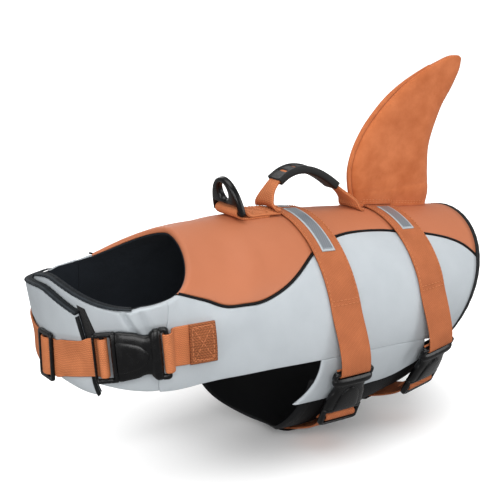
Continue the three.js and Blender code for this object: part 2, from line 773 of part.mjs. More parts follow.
// Slider on the chest strap: the strap runs under its side bars and over its centre bar
const SLIDER = { halfHeight: 22, half: 12.4, bar: 3.5, centre: 2, thick: 2.4, above: 2.9, bearing: -181 };
const SLIDER_ROOM = 17;
const bearings = range(-156, -272, -4);
const front = chestStations(bearings, CHEST_MIDDLE);
const atSlider = chestStations([...range(-100, -176, -4), -179, -183], CHEST_MIDDLE).slice(-2);
const sliderFrame = basis(
  middleOf(atSlider[0]).lerp(middleOf(atSlider[1]), 0.5),
  middleOf(atSlider[0]).sub(middleOf(atSlider[1])),
  atSlider[0][2].n.clone().add(atSlider[1][2].n),
);
const sliderHoles = [
  [-SLIDER.half + SLIDER.bar, -SLIDER.centre, CHEST_WIDTH / 2 + 0.8],
  [SLIDER.centre, SLIDER.half - SLIDER.bar, CHEST_WIDTH / 2 + 0.8],
];
addPart(
  'chest_slider',
  plate(roundedFrame(SLIDER.halfHeight, -SLIDER.half, SLIDER.half, sliderHoles), SLIDER.thick, 0.7)
    .translate(0, 0, SLIDER.above),
  COLOURS.plastic,
).applyMatrix4(sliderFrame);

const SLIDER_HUMP = [[14, 0.4], [8.6, 0.4], [2.8, 5.3], [-2.8, 5.3], [-8.6, 0.4], [-14, 0.4]];
const downwards = CHEST_SHARES.map((share) => -share);
const hump = inFrame(sliderFrame, CHEST_WIDTH / 2, SLIDER_HUMP, downwards);
const alongSlider = (station) => middleOf(station).applyMatrix4(sliderFrame.clone().invert()).y;
const clearOfSlider = (side) => (station, i) =>
  side * (bearings[i] - SLIDER.bearing) > 0 && side * alongSlider(station) > SLIDER_ROOM;
const before = front.filter(clearOfSlider(1));
const after = front.filter(clearOfSlider(-1));
const strapLoop = maleLoop(chestFrame, CHEST_WIDTH / 2, CHEST_SHARES).reverse();
addPart('chest_strap', band([...strapLoop, ...before, ...hump, ...after], WEBBING), COLOURS.webbing);

// Lead ring in a webbing tab on the ridge, and the handle behind it

const ridgeStation = (x) => stationWhere(0, 'x', x, 0, REAR);
const ridgeZ = (x) => outside(ridgeStation(x), 0).z;
const PATCH_HALF = 17.5;
const ACROSS = [-1, -0.5, 0, 0.5, 1];
const RIDGE_RADIUS = 95;

// Row of points across the ridge at x, following its curve
function acrossRidge(x, half, lift) {
  return ACROSS.map((share) => {
    const angle = THREE.MathUtils.radToDeg((share * half) / RIDGE_RADIUS);
    return onBody(stationWhere(angle, 'x', x, 0, REAR), angle, lift);
  });
}

// Rows of points straight across, along a line of [x, z, half width] in the middle plane
function straightAcross(line) {
  return line.map(([x, z, half], i) => {
    const [beforeX, beforeZ] = line[Math.max(i - 1, 0)];
    const [afterX, afterZ] = line[Math.min(i + 1, line.length - 1)];
    const n = new THREE.Vector3(beforeZ - afterZ, 0, afterX - beforeX).normalize();
    return ACROSS.map((share) => ({ p: new THREE.Vector3(x, share * half, z), n }));
  });
}

const turnedOver = (row) => row.map(({ p, n }) => ({ p, n: n.clone().negate() }));

const RING = {
  barX: -70, barLift: 6.6, barRadius: 2.5, half: 23, tall: 33, thick: 7, lean: -14,
  slotTall: 4.2, eyeHalf: 7.6, eyeTall: 9, eyeZ: 19,
};
const ringZ = ridgeZ(RING.barX) + RING.barLift;
const TAB_RADIUS = RING.barRadius + 0.5 + WEBBING / 2;
const PATCH_LIFT = SEAM + WEBBING / 2;
const SECOND_LIFT = PATCH_LIFT + WEBBING + SEAM;

const tabTurns = [250, 215, 180, 145, 110, 80, 55].map((degrees) => {
  const turn = THREE.MathUtils.degToRad(degrees);
  return [RING.barX + TAB_RADIUS * Math.cos(turn), ringZ + TAB_RADIUS * Math.sin(turn), PATCH_HALF];
});
addPart(
  'ring_tab',
  band(
    [
      ...[-37, -44, -52, -60].map((x) => acrossRidge(x, PATCH_HALF, PATCH_LIFT)),
      ...straightAcross(tabTurns).map(turnedOver),
      ...[-57, -50, -42, -34, -24].map((x) => turnedOver(acrossRidge(x, PATCH_HALF, SECOND_LIFT))),
    ],
    WEBBING,
  ),
  COLOURS.webbing,
);

function ringGeometry() {
  const { half, tall, barRadius, thick, slotTall, eyeHalf, eyeTall, eyeZ } = RING;
  const outline = new THREE.Shape();
  outline.moveTo(-half, -barRadius);
  outline.lineTo(half, -barRadius);
  outline.bezierCurveTo(half, tall * 0.45, half * 0.62, tall, 0, tall);
  outline.bezierCurveTo(-half * 0.62, tall, -half, tall * 0.45, -half, -barRadius);
  const slotHalf = PATCH_HALF + 1;
  const slot = new THREE.Path();
  slot.moveTo(-slotHalf, barRadius);
  slot.lineTo(-slotHalf + 0.6, barRadius + slotTall);
  slot.lineTo(slotHalf - 0.6, barRadius + slotTall);
  slot.lineTo(slotHalf, barRadius);
  slot.closePath();
  const eye = new THREE.Path();
  eye.absellipse(0, eyeZ, eyeHalf, eyeTall, 0, 2 * Math.PI, true);
  outline.holes.push(slot, eye);
  const body = plate(outline, thick, 1.5);
  const room = new THREE.BoxGeometry(2 * slotHalf, 2 * barRadius + 1, thick + 2).translate(0, -0.5, 0);
  const bar = new THREE.CylinderGeometry(barRadius, barRadius, 2 * slotHalf + 1, 10).rotateZ(Math.PI / 2);
  return fromManifold(toManifold(body).subtract(toManifold(room)).add(toManifold(bar)));
}

const ring = addPart('d_ring', ringGeometry(), COLOURS.plastic);
const barMiddle = new THREE.Vector3(RING.barX, 0, ringZ);
const upright = basis(barMiddle, new THREE.Vector3(0, 0, 1), new THREE.Vector3(-1, 0, 0));
const lean = new THREE.Matrix4().makeRotationX(THREE.MathUtils.degToRad(-RING.lean));
ring.applyMatrix4(upright.multiply(lean));

// Handle webbing: x, z, half width along the middle plane. It is gathered narrow in the grip and
// spreads to its full width at both feet, which lie on the ridge.
const HANDLE_LINE = [
  [-29.5, 18, 15], [-28.4, 24, 12], [-24.5, 31, 9], [-18, 38, 7.8], [-8, 43.8, 7.8], [4, 46.6, 7.8],
  [16, 45.4, 7.8], [28, 41, 7.8], [40, 34, 7.8], [51, 25.8, 7.8], [60, 18.8, 9], [66, 13.6, 12],
  [71, 8, 15],
];
const HANDLE_THICK = 2.8;
const HANDLE_HALF = 17;
const HANDLE_FOOT = SECOND_LIFT + WEBBING / 2 + SEAM + HANDLE_THICK / 2;
const frontFoot = [[-23, 0], [-27.2, 0.6]].map(([x, rise]) =>
  turnedOver(acrossRidge(x, HANDLE_HALF, HANDLE_FOOT + rise)),
);
const rearFoot = [[74, 2.6], [77.5, 1.9]].map(([x, lift]) => acrossRidge(x, HANDLE_HALF, lift));
addPart(
  'handle_webbing',
  band([...frontFoot, ...straightAcross(HANDLE_LINE), ...rearFoot], HANDLE_THICK),
  COLOURS.webbing,
);

// Grip: a rubber sleeve round the webbing, open at both ends
const GRIP = { first: 3, last: 9, halfOut: 9.8, halfIn: 8.4, thickOut: 4, thickIn: 1.9 };

function sleeve(line) {
  const profile = (half, thick, corner) => [
    [-half + corner, thick], [half - corner, thick], [half, thick - corner], [half, -thick + corner],
    [half - corner, -thick], [-half + corner, -thick], [-half, -thick + corner], [-half, thick - corner],
  ];
  const faces = [profile(GRIP.halfOut, GRIP.thickOut, 1.6), profile(GRIP.halfIn, GRIP.thickIn, 0.3)];
  const rows = straightAcross(line);
  const positions = [];
  for (const face of faces) {
    for (const row of rows) {
      const { p, n } = row[2];
      for (const [y, out] of face) positions.push(p.x + n.x * out, y, p.z + n.z * out);
    }
  }
  const sides = 8;
  const at = (face, row, k) => (face * rows.length + row) * sides + (k % sides);
  const index = [];
  const quad = (a, b, c, d) => index.push(a, b, c, a, c, d);
  for (let k = 0; k < sides; k += 1) {
    for (let row = 0; row < rows.length - 1; row += 1) {
      quad(at(0, row, k), at(0, row, k + 1), at(0, row + 1, k + 1), at(0, row + 1, k));
      quad(at(1, row, k), at(1, row + 1, k), at(1, row + 1, k + 1), at(1, row, k + 1));
    }
    const end = rows.length - 1;
    quad(at(0, 0, k + 1), at(0, 0, k), at(1, 0, k), at(1, 0, k + 1));
    quad(at(0, end, k), at(0, end, k + 1), at(1, end, k + 1), at(1, end, k));
  }
  return closedGeometry(positions, index);
}

addPart('handle_grip', sleeve(HANDLE_LINE.slice(GRIP.first, GRIP.last + 1)), COLOURS.rubber);

// Fin: foam between two faces, its foot on the ridge and over the rear girth strap

const curveThrough = (rows) => new THREE.CatmullRomCurve3(rows.map(([x, z]) => new THREE.Vector3(x, 0, z)));
const FIN_START = 80;
const FIN_END = 174;
const FIN_FRONT = curveThrough([
  [FIN_START, 1], [75, 21], [74, 36], [78, 52], [89, 72], [105, 90], [128, 109], [157, 126], [185, 137],
  [205, 142], [213, 141.5],
]);
const FIN_REAR = curveThrough([
  [FIN_END, -7], [176, 4], [175, 27], [175.5, 51], [180, 66], [191, 90], [207, 113], [216, 130], [217, 138],
]);
const FIN_HALF = 7;
const FIN_LIFT = SEAM + 0.2;
const FIN_LIFT_ON_STRAP = WEBBING_LIFT + WEBBING + SEAM + 0.1;
const strapEdges = [-1, 1].map((side) => GIRTH_STRAPS[1].x + side * (GIRTH_WIDTH / 2 + 1));
const finShare = (x) => (x - FIN_START) / (FIN_END - FIN_START);
const FIN_COLUMNS = [
  0, finShare(strapEdges[0]) - 0.006, finShare(strapEdges[0]), 0.2, 0.3, 0.4,
  finShare(strapEdges[1]), finShare(strapEdges[1]) + 0.006, 0.6, 0.72, 0.84, 0.94, 1,
];
addPart(
  'fin',
  slab(FIN_COLUMNS, 15, (s, t, face) => {
    const p = FIN_FRONT.getPointAt(t).lerp(FIN_REAR.getPointAt(t), s);
    if (t === 0) {
      const onStrap = p.x > strapEdges[0] - 0.2 && p.x < strapEdges[1] + 0.2;
      p.z = ridgeZ(p.x) + (onStrap ? FIN_LIFT_ON_STRAP : FIN_LIFT);
    }
    const half = 1 + (FIN_HALF - 1) * Math.sqrt(4 * s * (1 - s) + 0.02) * (1 - 0.8 * t * t);
    return p.setY(face ? half : -half);
  }),
  COLOURS.suede,
);

const FIN_PIPING = { from: 0.05, to: 0.8, ahead: 2.6, radius: 1.6 };
const finPipingPath = new THREE.CatmullRomCurve3(
  steps(20).map((s) => {
    const at = mix(FIN_PIPING.from, FIN_PIPING.to, s);
    const { x, z } = FIN_FRONT.getTangentAt(at);
    return FIN_FRONT.getPointAt(at).addScaledVector(new THREE.Vector3(-z, 0, x), FIN_PIPING.ahead);
  }),
);
addPart('fin_piping', tube(finPipingPath, FIN_PIPING.radius, 20, 5), COLOURS.suede);

export default jacket;
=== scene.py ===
# Dog life jacket with a shark fin: the looks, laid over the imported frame.
# Millimetres unless a name says metres. +X runs along the back to the tail, -Y is the left side.

import math

import bmesh
import bpy
import numpy as np
from mathutils import Matrix, Vector


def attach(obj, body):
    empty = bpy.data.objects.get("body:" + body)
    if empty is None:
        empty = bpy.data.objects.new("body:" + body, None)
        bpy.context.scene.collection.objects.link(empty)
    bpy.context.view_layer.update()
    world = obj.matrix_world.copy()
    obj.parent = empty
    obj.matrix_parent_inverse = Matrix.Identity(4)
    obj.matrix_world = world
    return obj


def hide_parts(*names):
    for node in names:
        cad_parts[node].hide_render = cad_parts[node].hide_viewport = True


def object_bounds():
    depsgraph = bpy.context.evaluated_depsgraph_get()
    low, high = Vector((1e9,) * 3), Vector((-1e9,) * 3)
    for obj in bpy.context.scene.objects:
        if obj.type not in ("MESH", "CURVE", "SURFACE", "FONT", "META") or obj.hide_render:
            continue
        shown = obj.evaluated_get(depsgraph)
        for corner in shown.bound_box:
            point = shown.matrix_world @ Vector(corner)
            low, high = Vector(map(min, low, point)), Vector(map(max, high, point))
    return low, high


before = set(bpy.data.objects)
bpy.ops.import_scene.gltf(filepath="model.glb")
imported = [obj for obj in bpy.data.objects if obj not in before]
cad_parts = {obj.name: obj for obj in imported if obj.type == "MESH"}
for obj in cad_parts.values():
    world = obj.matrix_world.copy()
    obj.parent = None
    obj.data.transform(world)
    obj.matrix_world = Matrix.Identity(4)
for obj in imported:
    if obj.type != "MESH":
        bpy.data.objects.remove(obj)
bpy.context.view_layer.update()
MM = 0.001

# Camera: the photograph's view, found from the jacket's outline
AZIMUTH = math.radians(-35)
ELEVATION = math.radians(15)
CAMERA_AT = Vector((-0.70157, -0.93499, 0.28027))
LENS_MM = 90

# Wall and trim thicknesses, as in the solids
SHELL_INNER = -4.9
LINING_OUTER = -5.0
WALL = 6.8
FLAP = 2.2
BELLY = 3.0
WEBBING = 1.8
GIRTH_WIDTH = 34
CHEST_WIDTH = 34
BINDING_WIDTH = 6.5
COLLAR_STEP = 8
BAR_RADIUS = 1.8
FLOOR_BELOW = 3

# Cross-sections of the outside from the neck rim to the rear edge. Columns: x and z on the ridge,
# x and z at the lowest line, half width, superellipse powers above and below, downward sag.
RIDGE_X, RIDGE_Z, LOW_X, LOW_Z, HALF_WIDTH, SQUARE_TOP, SQUARE_BOTTOM, SAG = range(8)
SECTIONS = np.array([
    [-138, 9, -258, -16, 83, 1.8, 2.5, 28],
    [-119, 10, -250, -67, 85, 1.9, 2.8, 26],
    [-98, 10, -237, -117, 90, 2.0, 3.0, 26],
    [-68, 10, -150, -184, 93, 2.0, 2.3, 6],
    [-30, 9, -30, -208, 95, 2.0, 2.0, 0],
    [20, 5, 20, -206, 96, 2.0, 2.0, 0],
    [70, 0, 70, -198, 94, 2.0, 2.0, 0],
    [118, -5, 116, -186, 90, 2.0, 2.0, 0],
    [207, -15, 100, -168, 81, 2.0, 2.0, 12],
])
REAR = len(SECTIONS) - 1


def hermite(a, b, slope_a, slope_b, t):
    t2, t3 = t * t, t * t * t
    sloped = (t3 - 2 * t2 + t) * slope_a
    return (2 * t3 - 3 * t2 + 1) * a + sloped + (3 * t2 - 2 * t3) * b + (t3 - t2) * slope_b


def ease(value):
    value = np.clip(value, 0, 1)
    return value * value * (3 - 2 * value)


def mix(a, b, t):
    return a + (b - a) * t


def smooth(rows):
    """Smooth curve through a short table of (at, value) rows, flat beyond its ends."""
    ats, values = np.array(rows, float).T
    after, before = np.arange(len(ats)) + 1, np.arange(len(ats)) - 1
    after[-1] -= 1
    before[0] = 0
    slopes = (values[after] - values[before]) / (ats[after] - ats[before])

    def value_at(at):
        at = np.clip(at, ats[0], ats[-1])
        i = np.clip(np.searchsorted(ats, at, side="right") - 1, 0, len(ats) - 2)
        span = ats[i + 1] - ats[i]
        return hermite(values[i], values[i + 1], slopes[i] * span, slopes[i + 1] * span, (at - ats[i]) / span)

    return value_at


# Seam lines: station from the neck to the rear edge, degrees down from the ridge
PIPING_LINE = smooth([
    (0, 74), (1, 72), (2.2, 69), (2.8, 66.5), (3.4, 58.5), (4.2, 41.5),
    (4.8, 32.8), (5.5, 29.4), (6.3, 30.8), (7.1, 35.8), (7.6, 44), (8, 58),
])
COLLAR_FOLD = smooth([(0, 87), (0.8, 99.5), (1.4, 108), (2, 121.4)])
BELLY_SEAM = smooth([(2, 121.4), (2.4, 107.5), (2.9, 100.5), (3.5, 97), (4.9, 96), (6.4, 101.5), (8, 117)])
COLLAR_LOWER_LEFT = smooth([(121, 2), (132, 1.82), (145, 1.7), (160, 1.66), (213, 1.66)])
COLLAR_LOWER_RIGHT = smooth([(121, 2), (140, 1.8), (160, 1.76), (205, 1.76)])
COLLAR_UPPER_RIGHT = smooth([(115, 0), (140, 0.03), (160, 0.08), (180, 0.14), (205, 0.24)])
FLAP_LOWER = smooth([(3.7, 122), (4.3, 120), (5.1, 118.5), (5.9, 120.5), (6.6, 117.5)])
BELLY_FRONT = smooth([(97, 3.5), (125, 3.6), (150, 3.72), (180, 3.98), (210, 3.84), (252, 3.86)])
COLLAR_STEP_DONE = 140


def section_at(station):
    station = np.clip(station, 0, REAR)
    i = np.minimum(station.astype(int), REAR - 1)
    a, b = SECTIONS[i], SECTIONS[i + 1]
    slope_a = np.where((i > 0)[..., None], (b - SECTIONS[np.maximum(i - 1, 0)]) / 2, b - a)
    slope_b = np.where((i + 2 <= REAR)[..., None], (SECTIONS[np.minimum(i + 2, REAR)] - a) / 2, b - a)
    return np.moveaxis(hermite(a, b, slope_a, slope_b, (station - i)[..., None]), -1, 0)


def outside(station, angle):
    """Points of the outside: angle 0 is the ridge, 180 the lowest line, negative is the left."""
    station, angle = np.broadcast_arrays(np.asarray(station, float), np.asarray(angle, float))
    s = section_at(station)
    cosine, sine = np.cos(np.radians(angle)), np.sin(np.radians(angle))
    power = 2 / mix(s[SQUARE_TOP], s[SQUARE_BOTTOM], 0.5 - 0.5 * cosine)
    c = np.sign(cosine) * np.abs(cosine) ** power
    w = np.sign(sine) * np.abs(sine) ** power
    half_x, half_z = (s[RIDGE_X] - s[LOW_X]) / 2, (s[RIDGE_Z] - s[LOW_Z]) / 2
    sag = s[SAG] * np.abs(w) ** 1.5 / np.hypot(half_x, half_z)
    return np.stack([
        (s[RIDGE_X] + s[LOW_X]) / 2 + half_x * c + half_z * sag,
        s[HALF_WIDTH] * w,
        (s[RIDGE_Z] + s[LOW_Z]) / 2 + half_z * c - half_x * sag,
    ], -1)


def slopes_at(station, angle):
    a, b = np.maximum(station - 0.01, 0), np.minimum(station + 0.01, REAR)
    along_station = (outside(b, angle) - outside(a, angle)) / np.asarray(b - a)[..., None]
    along_angle = (outside(station, angle + 0.05) - outside(station, angle - 0.05)) / 0.1
    return along_station, along_angle


def unit(vectors):
    return vectors / np.maximum(np.linalg.norm(vectors, axis=-1, keepdims=True), 1e-9)


def outward(station, angle):
    return unit(np.cross(*slopes_at(station, angle)))


def point(station, angle, lift):
    station, angle, lift = np.broadcast_arrays(*(np.asarray(v, float) for v in (station, angle, lift)))
    return outside(station, angle) + outward(station, angle) * lift[..., None]


def beside(line, station, distance):
    """Angle that lies a distance beside a seam line, measured square to it."""
    along_station, along_angle = slopes_at(station, line(station))
    reach = np.linalg.norm(along_angle, axis=-1)
    turn = (line(station + 0.02) - line(station - 0.02)) / 0.04
    lean = turn * reach / np.linalg.norm(along_station, axis=-1)
    return line(station) + distance * np.hypot(1, lean) / reach


def before_rear(angle, distance):
    along_station, _ = slopes_at(np.full(np.shape(angle), float(REAR)), angle)
    return REAR - distance / np.linalg.norm(along_station, axis=-1)


def below_neck(angle, distance):
    along_station, _ = slopes_at(np.zeros(np.shape(angle)), angle)
    return distance / np.linalg.norm(along_station, axis=-1)


def station_where(angle, axis, value, low=2.5, high=REAR):
    """Station where a line of constant angle reaches a given x (axis 0) or z (axis 2)."""
    angle, value = np.broadcast_arrays(np.asarray(angle, float), np.asarray(value, float))
    a, b = np.full(angle.shape, float(low)), np.full(angle.shape, float(high))
    rising = outside(b, angle)[..., axis] > outside(a, angle)[..., axis]
    for _ in range(30):
        middle = (a + b) / 2
        short = (outside(middle, angle)[..., axis] < value) == rising
        a, b = np.where(short, middle, a), np.where(short, b, middle)
    return (a + b) / 2


# Meshes

def arc(points, axis):
    """Length run along an axis of a grid of points, starting from 0."""
    steps = np.linalg.norm(np.diff(points, axis=axis), axis=-1)
    start = np.zeros_like(np.take(steps, [0], axis=axis))
    return np.concatenate([start, np.cumsum(steps, axis=axis)], axis=axis)


def resample(rows, places):
    """Smooth curve through rows of points, read at places from 0 to 1 of its length."""
    middle = rows.reshape(len(rows), -1, 3)
    t = arc(middle[:, [middle.shape[1] // 2]], 0)[:, 0]
    slopes = np.gradient(rows, t, axis=0)
    at = np.asarray(places) * t[-1]
    i = np.clip(np.searchsorted(t, at, side="right") - 1, 0, len(t) - 2)
    shape = (-1,) + (1,) * (rows.ndim - 1)
    span = (t[i + 1] - t[i]).reshape(shape)
    share = (at - t[i]).reshape(shape) / span
    return hermite(rows[i], rows[i + 1], slopes[i] * span, slopes[i + 1] * span, share)


def even(rows, spacing):
    """The same curve at even spacing."""
    middle = rows.reshape(len(rows), -1, 3)
    length = arc(middle[:, [middle.shape[1] // 2]], 0)[-1, 0]
    return resample(rows, np.linspace(0, 1, max(int(length / spacing), 2) + 1))


def quads(ids):
    return np.stack([ids[:-1, :-1], ids[:-1, 1:], ids[1:, 1:], ids[1:, :-1]], -1).reshape(-1, 4)


def shell_parts(outer, inner):
    """Points, faces and cloth coordinates of a closed shell between two grids of points."""
    rows, cols = outer.shape[:2]
    ids = np.arange(rows * cols).reshape(rows, cols)
    edge = np.concatenate([ids[0, :-1], ids[:-1, -1], ids[-1, :0:-1], ids[:0:-1, 0]])
    following = np.roll(edge, -1)
    count = rows * cols
    sides = np.stack([following, edge, edge + count, following + count], -1)
    faces = np.concatenate([quads(ids), quads(ids)[:, ::-1] + count, sides])
    u = np.broadcast_to(arc(outer, 1)[rows // 2], (rows, cols))
    uv = np.stack([u, arc(outer, 0)], -1).reshape(-1, 2) * MM
    return np.concatenate([outer.reshape(-1, 3), inner.reshape(-1, 3)]), faces, np.concatenate([uv, uv])


def tube_parts(rings):
    """Closed tube through rings of points, one row a ring, with flat ends."""
    count, around = rings.shape[:2]
    ids = np.arange(count * around).reshape(count, around)
    faces = quads(np.concatenate([ids, ids[:, :1]], 1)).tolist()
    faces += [ids[0, ::-1].tolist(), ids[-1].tolist()]
    u = np.broadcast_to(np.linspace(0, 1, around) * arc(rings, 1)[count // 2][-1], (count, around))
    uv = np.stack([u, arc(rings, 0)], -1).reshape(-1, 2) * MM
    return rings.reshape(-1, 3), faces, uv


def joined(parts):
    points, faces, uvs, start = [], [], [], 0
    for part_points, part_faces, uv in parts:
        points.append(part_points)
        uvs.append(uv)
        faces += [[start + int(k) for k in face] for face in part_faces]
        start += len(part_points)
    return np.concatenate(points), faces, np.concatenate(uvs)


def add_piece(name, parts, material, node=(), body="vest", place=None):
    """Object from points, faces and cloth coordinates, riding a body in place of CAD nodes."""
    points, faces, uv = parts
    if place is not None:
        points = points @ np.array(place.to_3x3()).T + np.array(place.translation)
    mesh = bpy.data.meshes.new(name)
    mesh.from_pydata((points * MM).tolist(), [], [list(map(int, face)) for face in faces])
    loops = np.zeros(len(mesh.loops), np.int32)
    mesh.loops.foreach_get("vertex_index", loops)
    mesh.uv_layers.new(name="cloth").data.foreach_set("uv", uv[loops].ravel())
    mesh.polygons.foreach_set("use_smooth", np.ones(len(mesh.polygons), bool))
    work = bmesh.new()
    work.from_mesh(mesh)
    bmesh.ops.recalc_face_normals(work, faces=work.faces)
    work.to_mesh(mesh)
    work.free()
    mesh.materials.append(material)
    obj = bpy.data.objects.new(name, mesh)
    bpy.context.scene.collection.objects.link(obj)
    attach(obj, body)
    nodes = [node] if isinstance(node, str) else list(node)
    if nodes:
        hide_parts(*nodes)
    return obj


# Materials

def link(tree, kind, inputs=(), **settings):
    """Shader node with its settings, and its inputs linked or set."""
    made = tree.nodes.new(kind)
    for key, value in settings.items():
        setattr(made, key, value)
    for socket, value in dict(inputs).items():
        if isinstance(value, bpy.types.NodeSocket):
            tree.links.new(value, made.inputs[socket])
        else:
            made.inputs[socket].default_value = value
    return made


def sums(tree, operation, a, b=0.0):
    return link(tree, "ShaderNodeMath", {0: a, 1: b}, operation=operation).outputs[0]


def times(tree, a, b):
    return sums(tree, "MULTIPLY", a, b)


def plus(tree, a, b):
    return sums(tree, "ADD", a, b)


def noise(tree, where, scale, detail=3.0, roughness=0.55):
    inputs = {"Vector": where, "Scale": scale, "Detail": detail, "Roughness": roughness}
    return link(tree, "ShaderNodeTexNoise", inputs).outputs["Fac"]


def blend_colours(tree, factor, a, b):
    made = link(tree, "ShaderNodeMix", {0: factor}, data_type="RGBA")
    for socket, value in ((made.inputs[6], a), (made.inputs[7], b)):
        if isinstance(value, bpy.types.NodeSocket):
            tree.links.new(value, socket)
        else:
            socket.default_value = value
    return made.outputs[2]


def ramp(tree, factor, low, high):
    return link(tree, "ShaderNodeMapRange", {0: factor, 1: low, 2: high}).outputs[0]


def linear(colour):
    """sRGB of 0 to 255 as a linear colour."""
    parts = [c / 255 for c in colour]
    return tuple(c / 12.92 if c <= 0.04045 else ((c + 0.055) / 1.055) ** 2.4 for c in parts) + (1.0,)


def start_material(name, **sockets):
    material = bpy.data.materials.new(name)
    material.use_nodes = True
    tree = material.node_tree
    shader = tree.nodes["Principled BSDF"]
    for socket, value in sockets.items():
        shader.inputs[socket.replace("_", " ")].default_value = value
    coordinates = link(tree, "ShaderNodeTexCoord")
    return material, tree, shader, coordinates.outputs["UV"], coordinates.outputs["Object"]


def finish_material(tree, shader, colour, height, distance_mm, roughness=None):
    tree.links.new(colour, shader.inputs["Base Color"])
    if roughness is not None:
        tree.links.new(roughness, shader.inputs["Roughness"])
    inputs = {"Height": height, "Distance": distance_mm * MM, "Strength": 1.0}
    bump = link(tree, "ShaderNodeBump", inputs)
    tree.links.new(bump.outputs[0], shader.inputs["Normal"])


def thread_wave(tree, length, pitch_mm, shift=0.0):
    """0 to 1 wave along a length in metres, for threads at a pitch."""
    turns = plus(tree, times(tree, length, 1 / (pitch_mm * MM)), shift)
    return sums(tree, "ABSOLUTE", sums(tree, "SINE", times(tree, turns, math.pi)))


def woven(name, colour, shade, pitch_mm, depth_mm, cloud=0.35, **sockets):
    """Plain weave: warp and weft cross, with faint uneven threads, painted shade in the hollows between the
    threads, and larger clouds of darker tone.
    """
    material, tree, shader, uv, where = start_material(name, **sockets)
    axes = link(tree, "ShaderNodeSeparateXYZ", {0: uv})
    weave = times(tree, *(thread_wave(tree, axes.outputs[k], pitch_mm) for k in (0, 1)))
    uneven = noise(tree, where, 900, 2.0)
    height = plus(tree, weave, times(tree, uneven, 0.6))
    clouds = noise(tree, where, 26, 4.0)
    # Painted shade: the colour darkens where the threads dip, in the hollows of the weave.
    weave_hollow_shade = times(tree, sums(tree, "SUBTRACT", 1.0, weave), 0.35)
    factor = plus(tree, weave_hollow_shade, times(tree, ramp(tree, clouds, 0.35, 0.7), cloud))
    mixed = blend_colours(tree, factor, linear(colour), linear(shade))
    finish_material(tree, shader, mixed, height, depth_mm)
    return material


def coated(name, colour, shade, **sockets):
    """Smooth coated cloth: a faint leather-like grain, broad clouds of tone."""
    material, tree, shader, _, where = start_material(name, **sockets)
    grain = link(tree, "ShaderNodeTexVoronoi", {"Vector": where, "Scale": 1400.0}).outputs["Distance"]
    fine = noise(tree, where, 600, 3.0)
    height = plus(tree, grain, fine)
    clouds = ramp(tree, noise(tree, where, 14, 4.0), 0.35, 0.7)
    mixed = blend_colours(tree, times(tree, clouds, 0.4), linear(colour), linear(shade))
    rough = plus(tree, 0.46, times(tree, fine, 0.14))
    finish_material(tree, shader, mixed, height, 0.06, rough)
    return material


def webbing_look(name, colour, shade, pitch_mm=1.6, turn_mm=8.5, depth_mm=0.28):
    """Woven webbing: short thick threads in a zigzag of slanting rows, with soft painted shade in the gaps
    between them.
    """
    material, tree, shader, uv, where = start_material(name, Roughness=0.85, Specular_IOR_Level=0.2)
    axes = link(tree, "ShaderNodeSeparateXYZ", {0: uv})
    across, along = axes.outputs[0], axes.outputs[1]
    zigzag = sums(tree, "PINGPONG", across, turn_mm * MM)
    slanted = thread_wave(tree, plus(tree, along, zigzag), 1.3 * pitch_mm)
    warp = thread_wave(tree, across, pitch_mm)
    threads = sums(tree, "POWER", times(tree, slanted, warp), 0.6)
    fuzz = noise(tree, where, 1500, 2.0)
    height = plus(tree, threads, times(tree, fuzz, 0.35))
    clouds = times(tree, ramp(tree, noise(tree, where, 60, 4.0), 0.3, 0.75), 0.3)
    # Painted shade: darker where the threads are low, in the gaps between them.
    thread_gap_shade = times(tree, ramp(tree, threads, 0.8, 0.0), 0.8)
    mixed = blend_colours(tree, plus(tree, thread_gap_shade, clouds), linear(colour), linear(shade))
    finish_material(tree, shader, mixed, height, depth_mm)
    return material


def suede(name, colour, shade):
    """Brushed cloth: short nap with patches stroked light and dark."""
    nap_sockets = {"Roughness": 0.95, "Specular_IOR_Level": 0.1, "Sheen_Weight": 0.15, "Sheen_Roughness": 0.5}
    material, tree, shader, _, where = start_material(name, **nap_sockets)
    nap = noise(tree, where, 1800, 3.0, 0.7)
    strokes = noise(tree, where, 90, 6.0, 0.65)
    patches = noise(tree, where, 22, 3.0)
    factor = plus(tree, times(tree, ramp(tree, strokes, 0.3, 0.7), 0.5),
                  times(tree, ramp(tree, patches, 0.35, 0.7), 0.5))
    height = plus(tree, nap, times(tree, strokes, 0.6))
    mixed = blend_colours(tree, factor, linear(colour), linear(shade))
    finish_material(tree, shader, mixed, height, 0.18)
    return material


def moulded(name, colour, shade, rough, grain_mm, **sockets):
    """Moulded plastic or rubber: fine grain and faint scuffs."""
    material, tree, shader, _, where = start_material(name, **sockets)
    grain = noise(tree, where, 2200, 2.0)
    scuffs = ramp(tree, noise(tree, where, 120, 6.0, 0.7), 0.45, 0.75)
    mixed = blend_colours(tree, scuffs, linear(colour), linear(shade))
    finish = plus(tree, rough, times(tree, scuffs, 0.16))
    finish_material(tree, shader, mixed, grain, grain_mm, finish)
    return material


def ribbed(name, colour, shade, pitch_mm, depth_mm, **sockets):
    """Ribbed tape: cords across the tape at a pitch, with a finer weave on them. The colour moves to the
    second colour on the cord crests; where that is the lighter one, it is a painted highlight on the crests.
    """
    material, tree, shader, uv, where = start_material(name, **sockets)
    axes = link(tree, "ShaderNodeSeparateXYZ", {0: uv})
    ribs = thread_wave(tree, axes.outputs[0], pitch_mm)
    fine = thread_wave(tree, axes.outputs[1], pitch_mm / 2)
    height = plus(tree, ribs, times(tree, fine, 0.3))
    uneven = ramp(tree, noise(tree, where, 160, 4.0), 0.3, 0.7)
    # On the cord crests the colour goes to the second colour: a painted highlight where that is lighter
    # (black tape, elastic, black thread).
    factor = times(tree, ribs, plus(tree, 0.45, times(tree, uneven, 0.55)))
    mixed = blend_colours(tree, factor, linear(colour), linear(shade))
    finish_material(tree, shader, mixed, height, depth_mm)
    return material


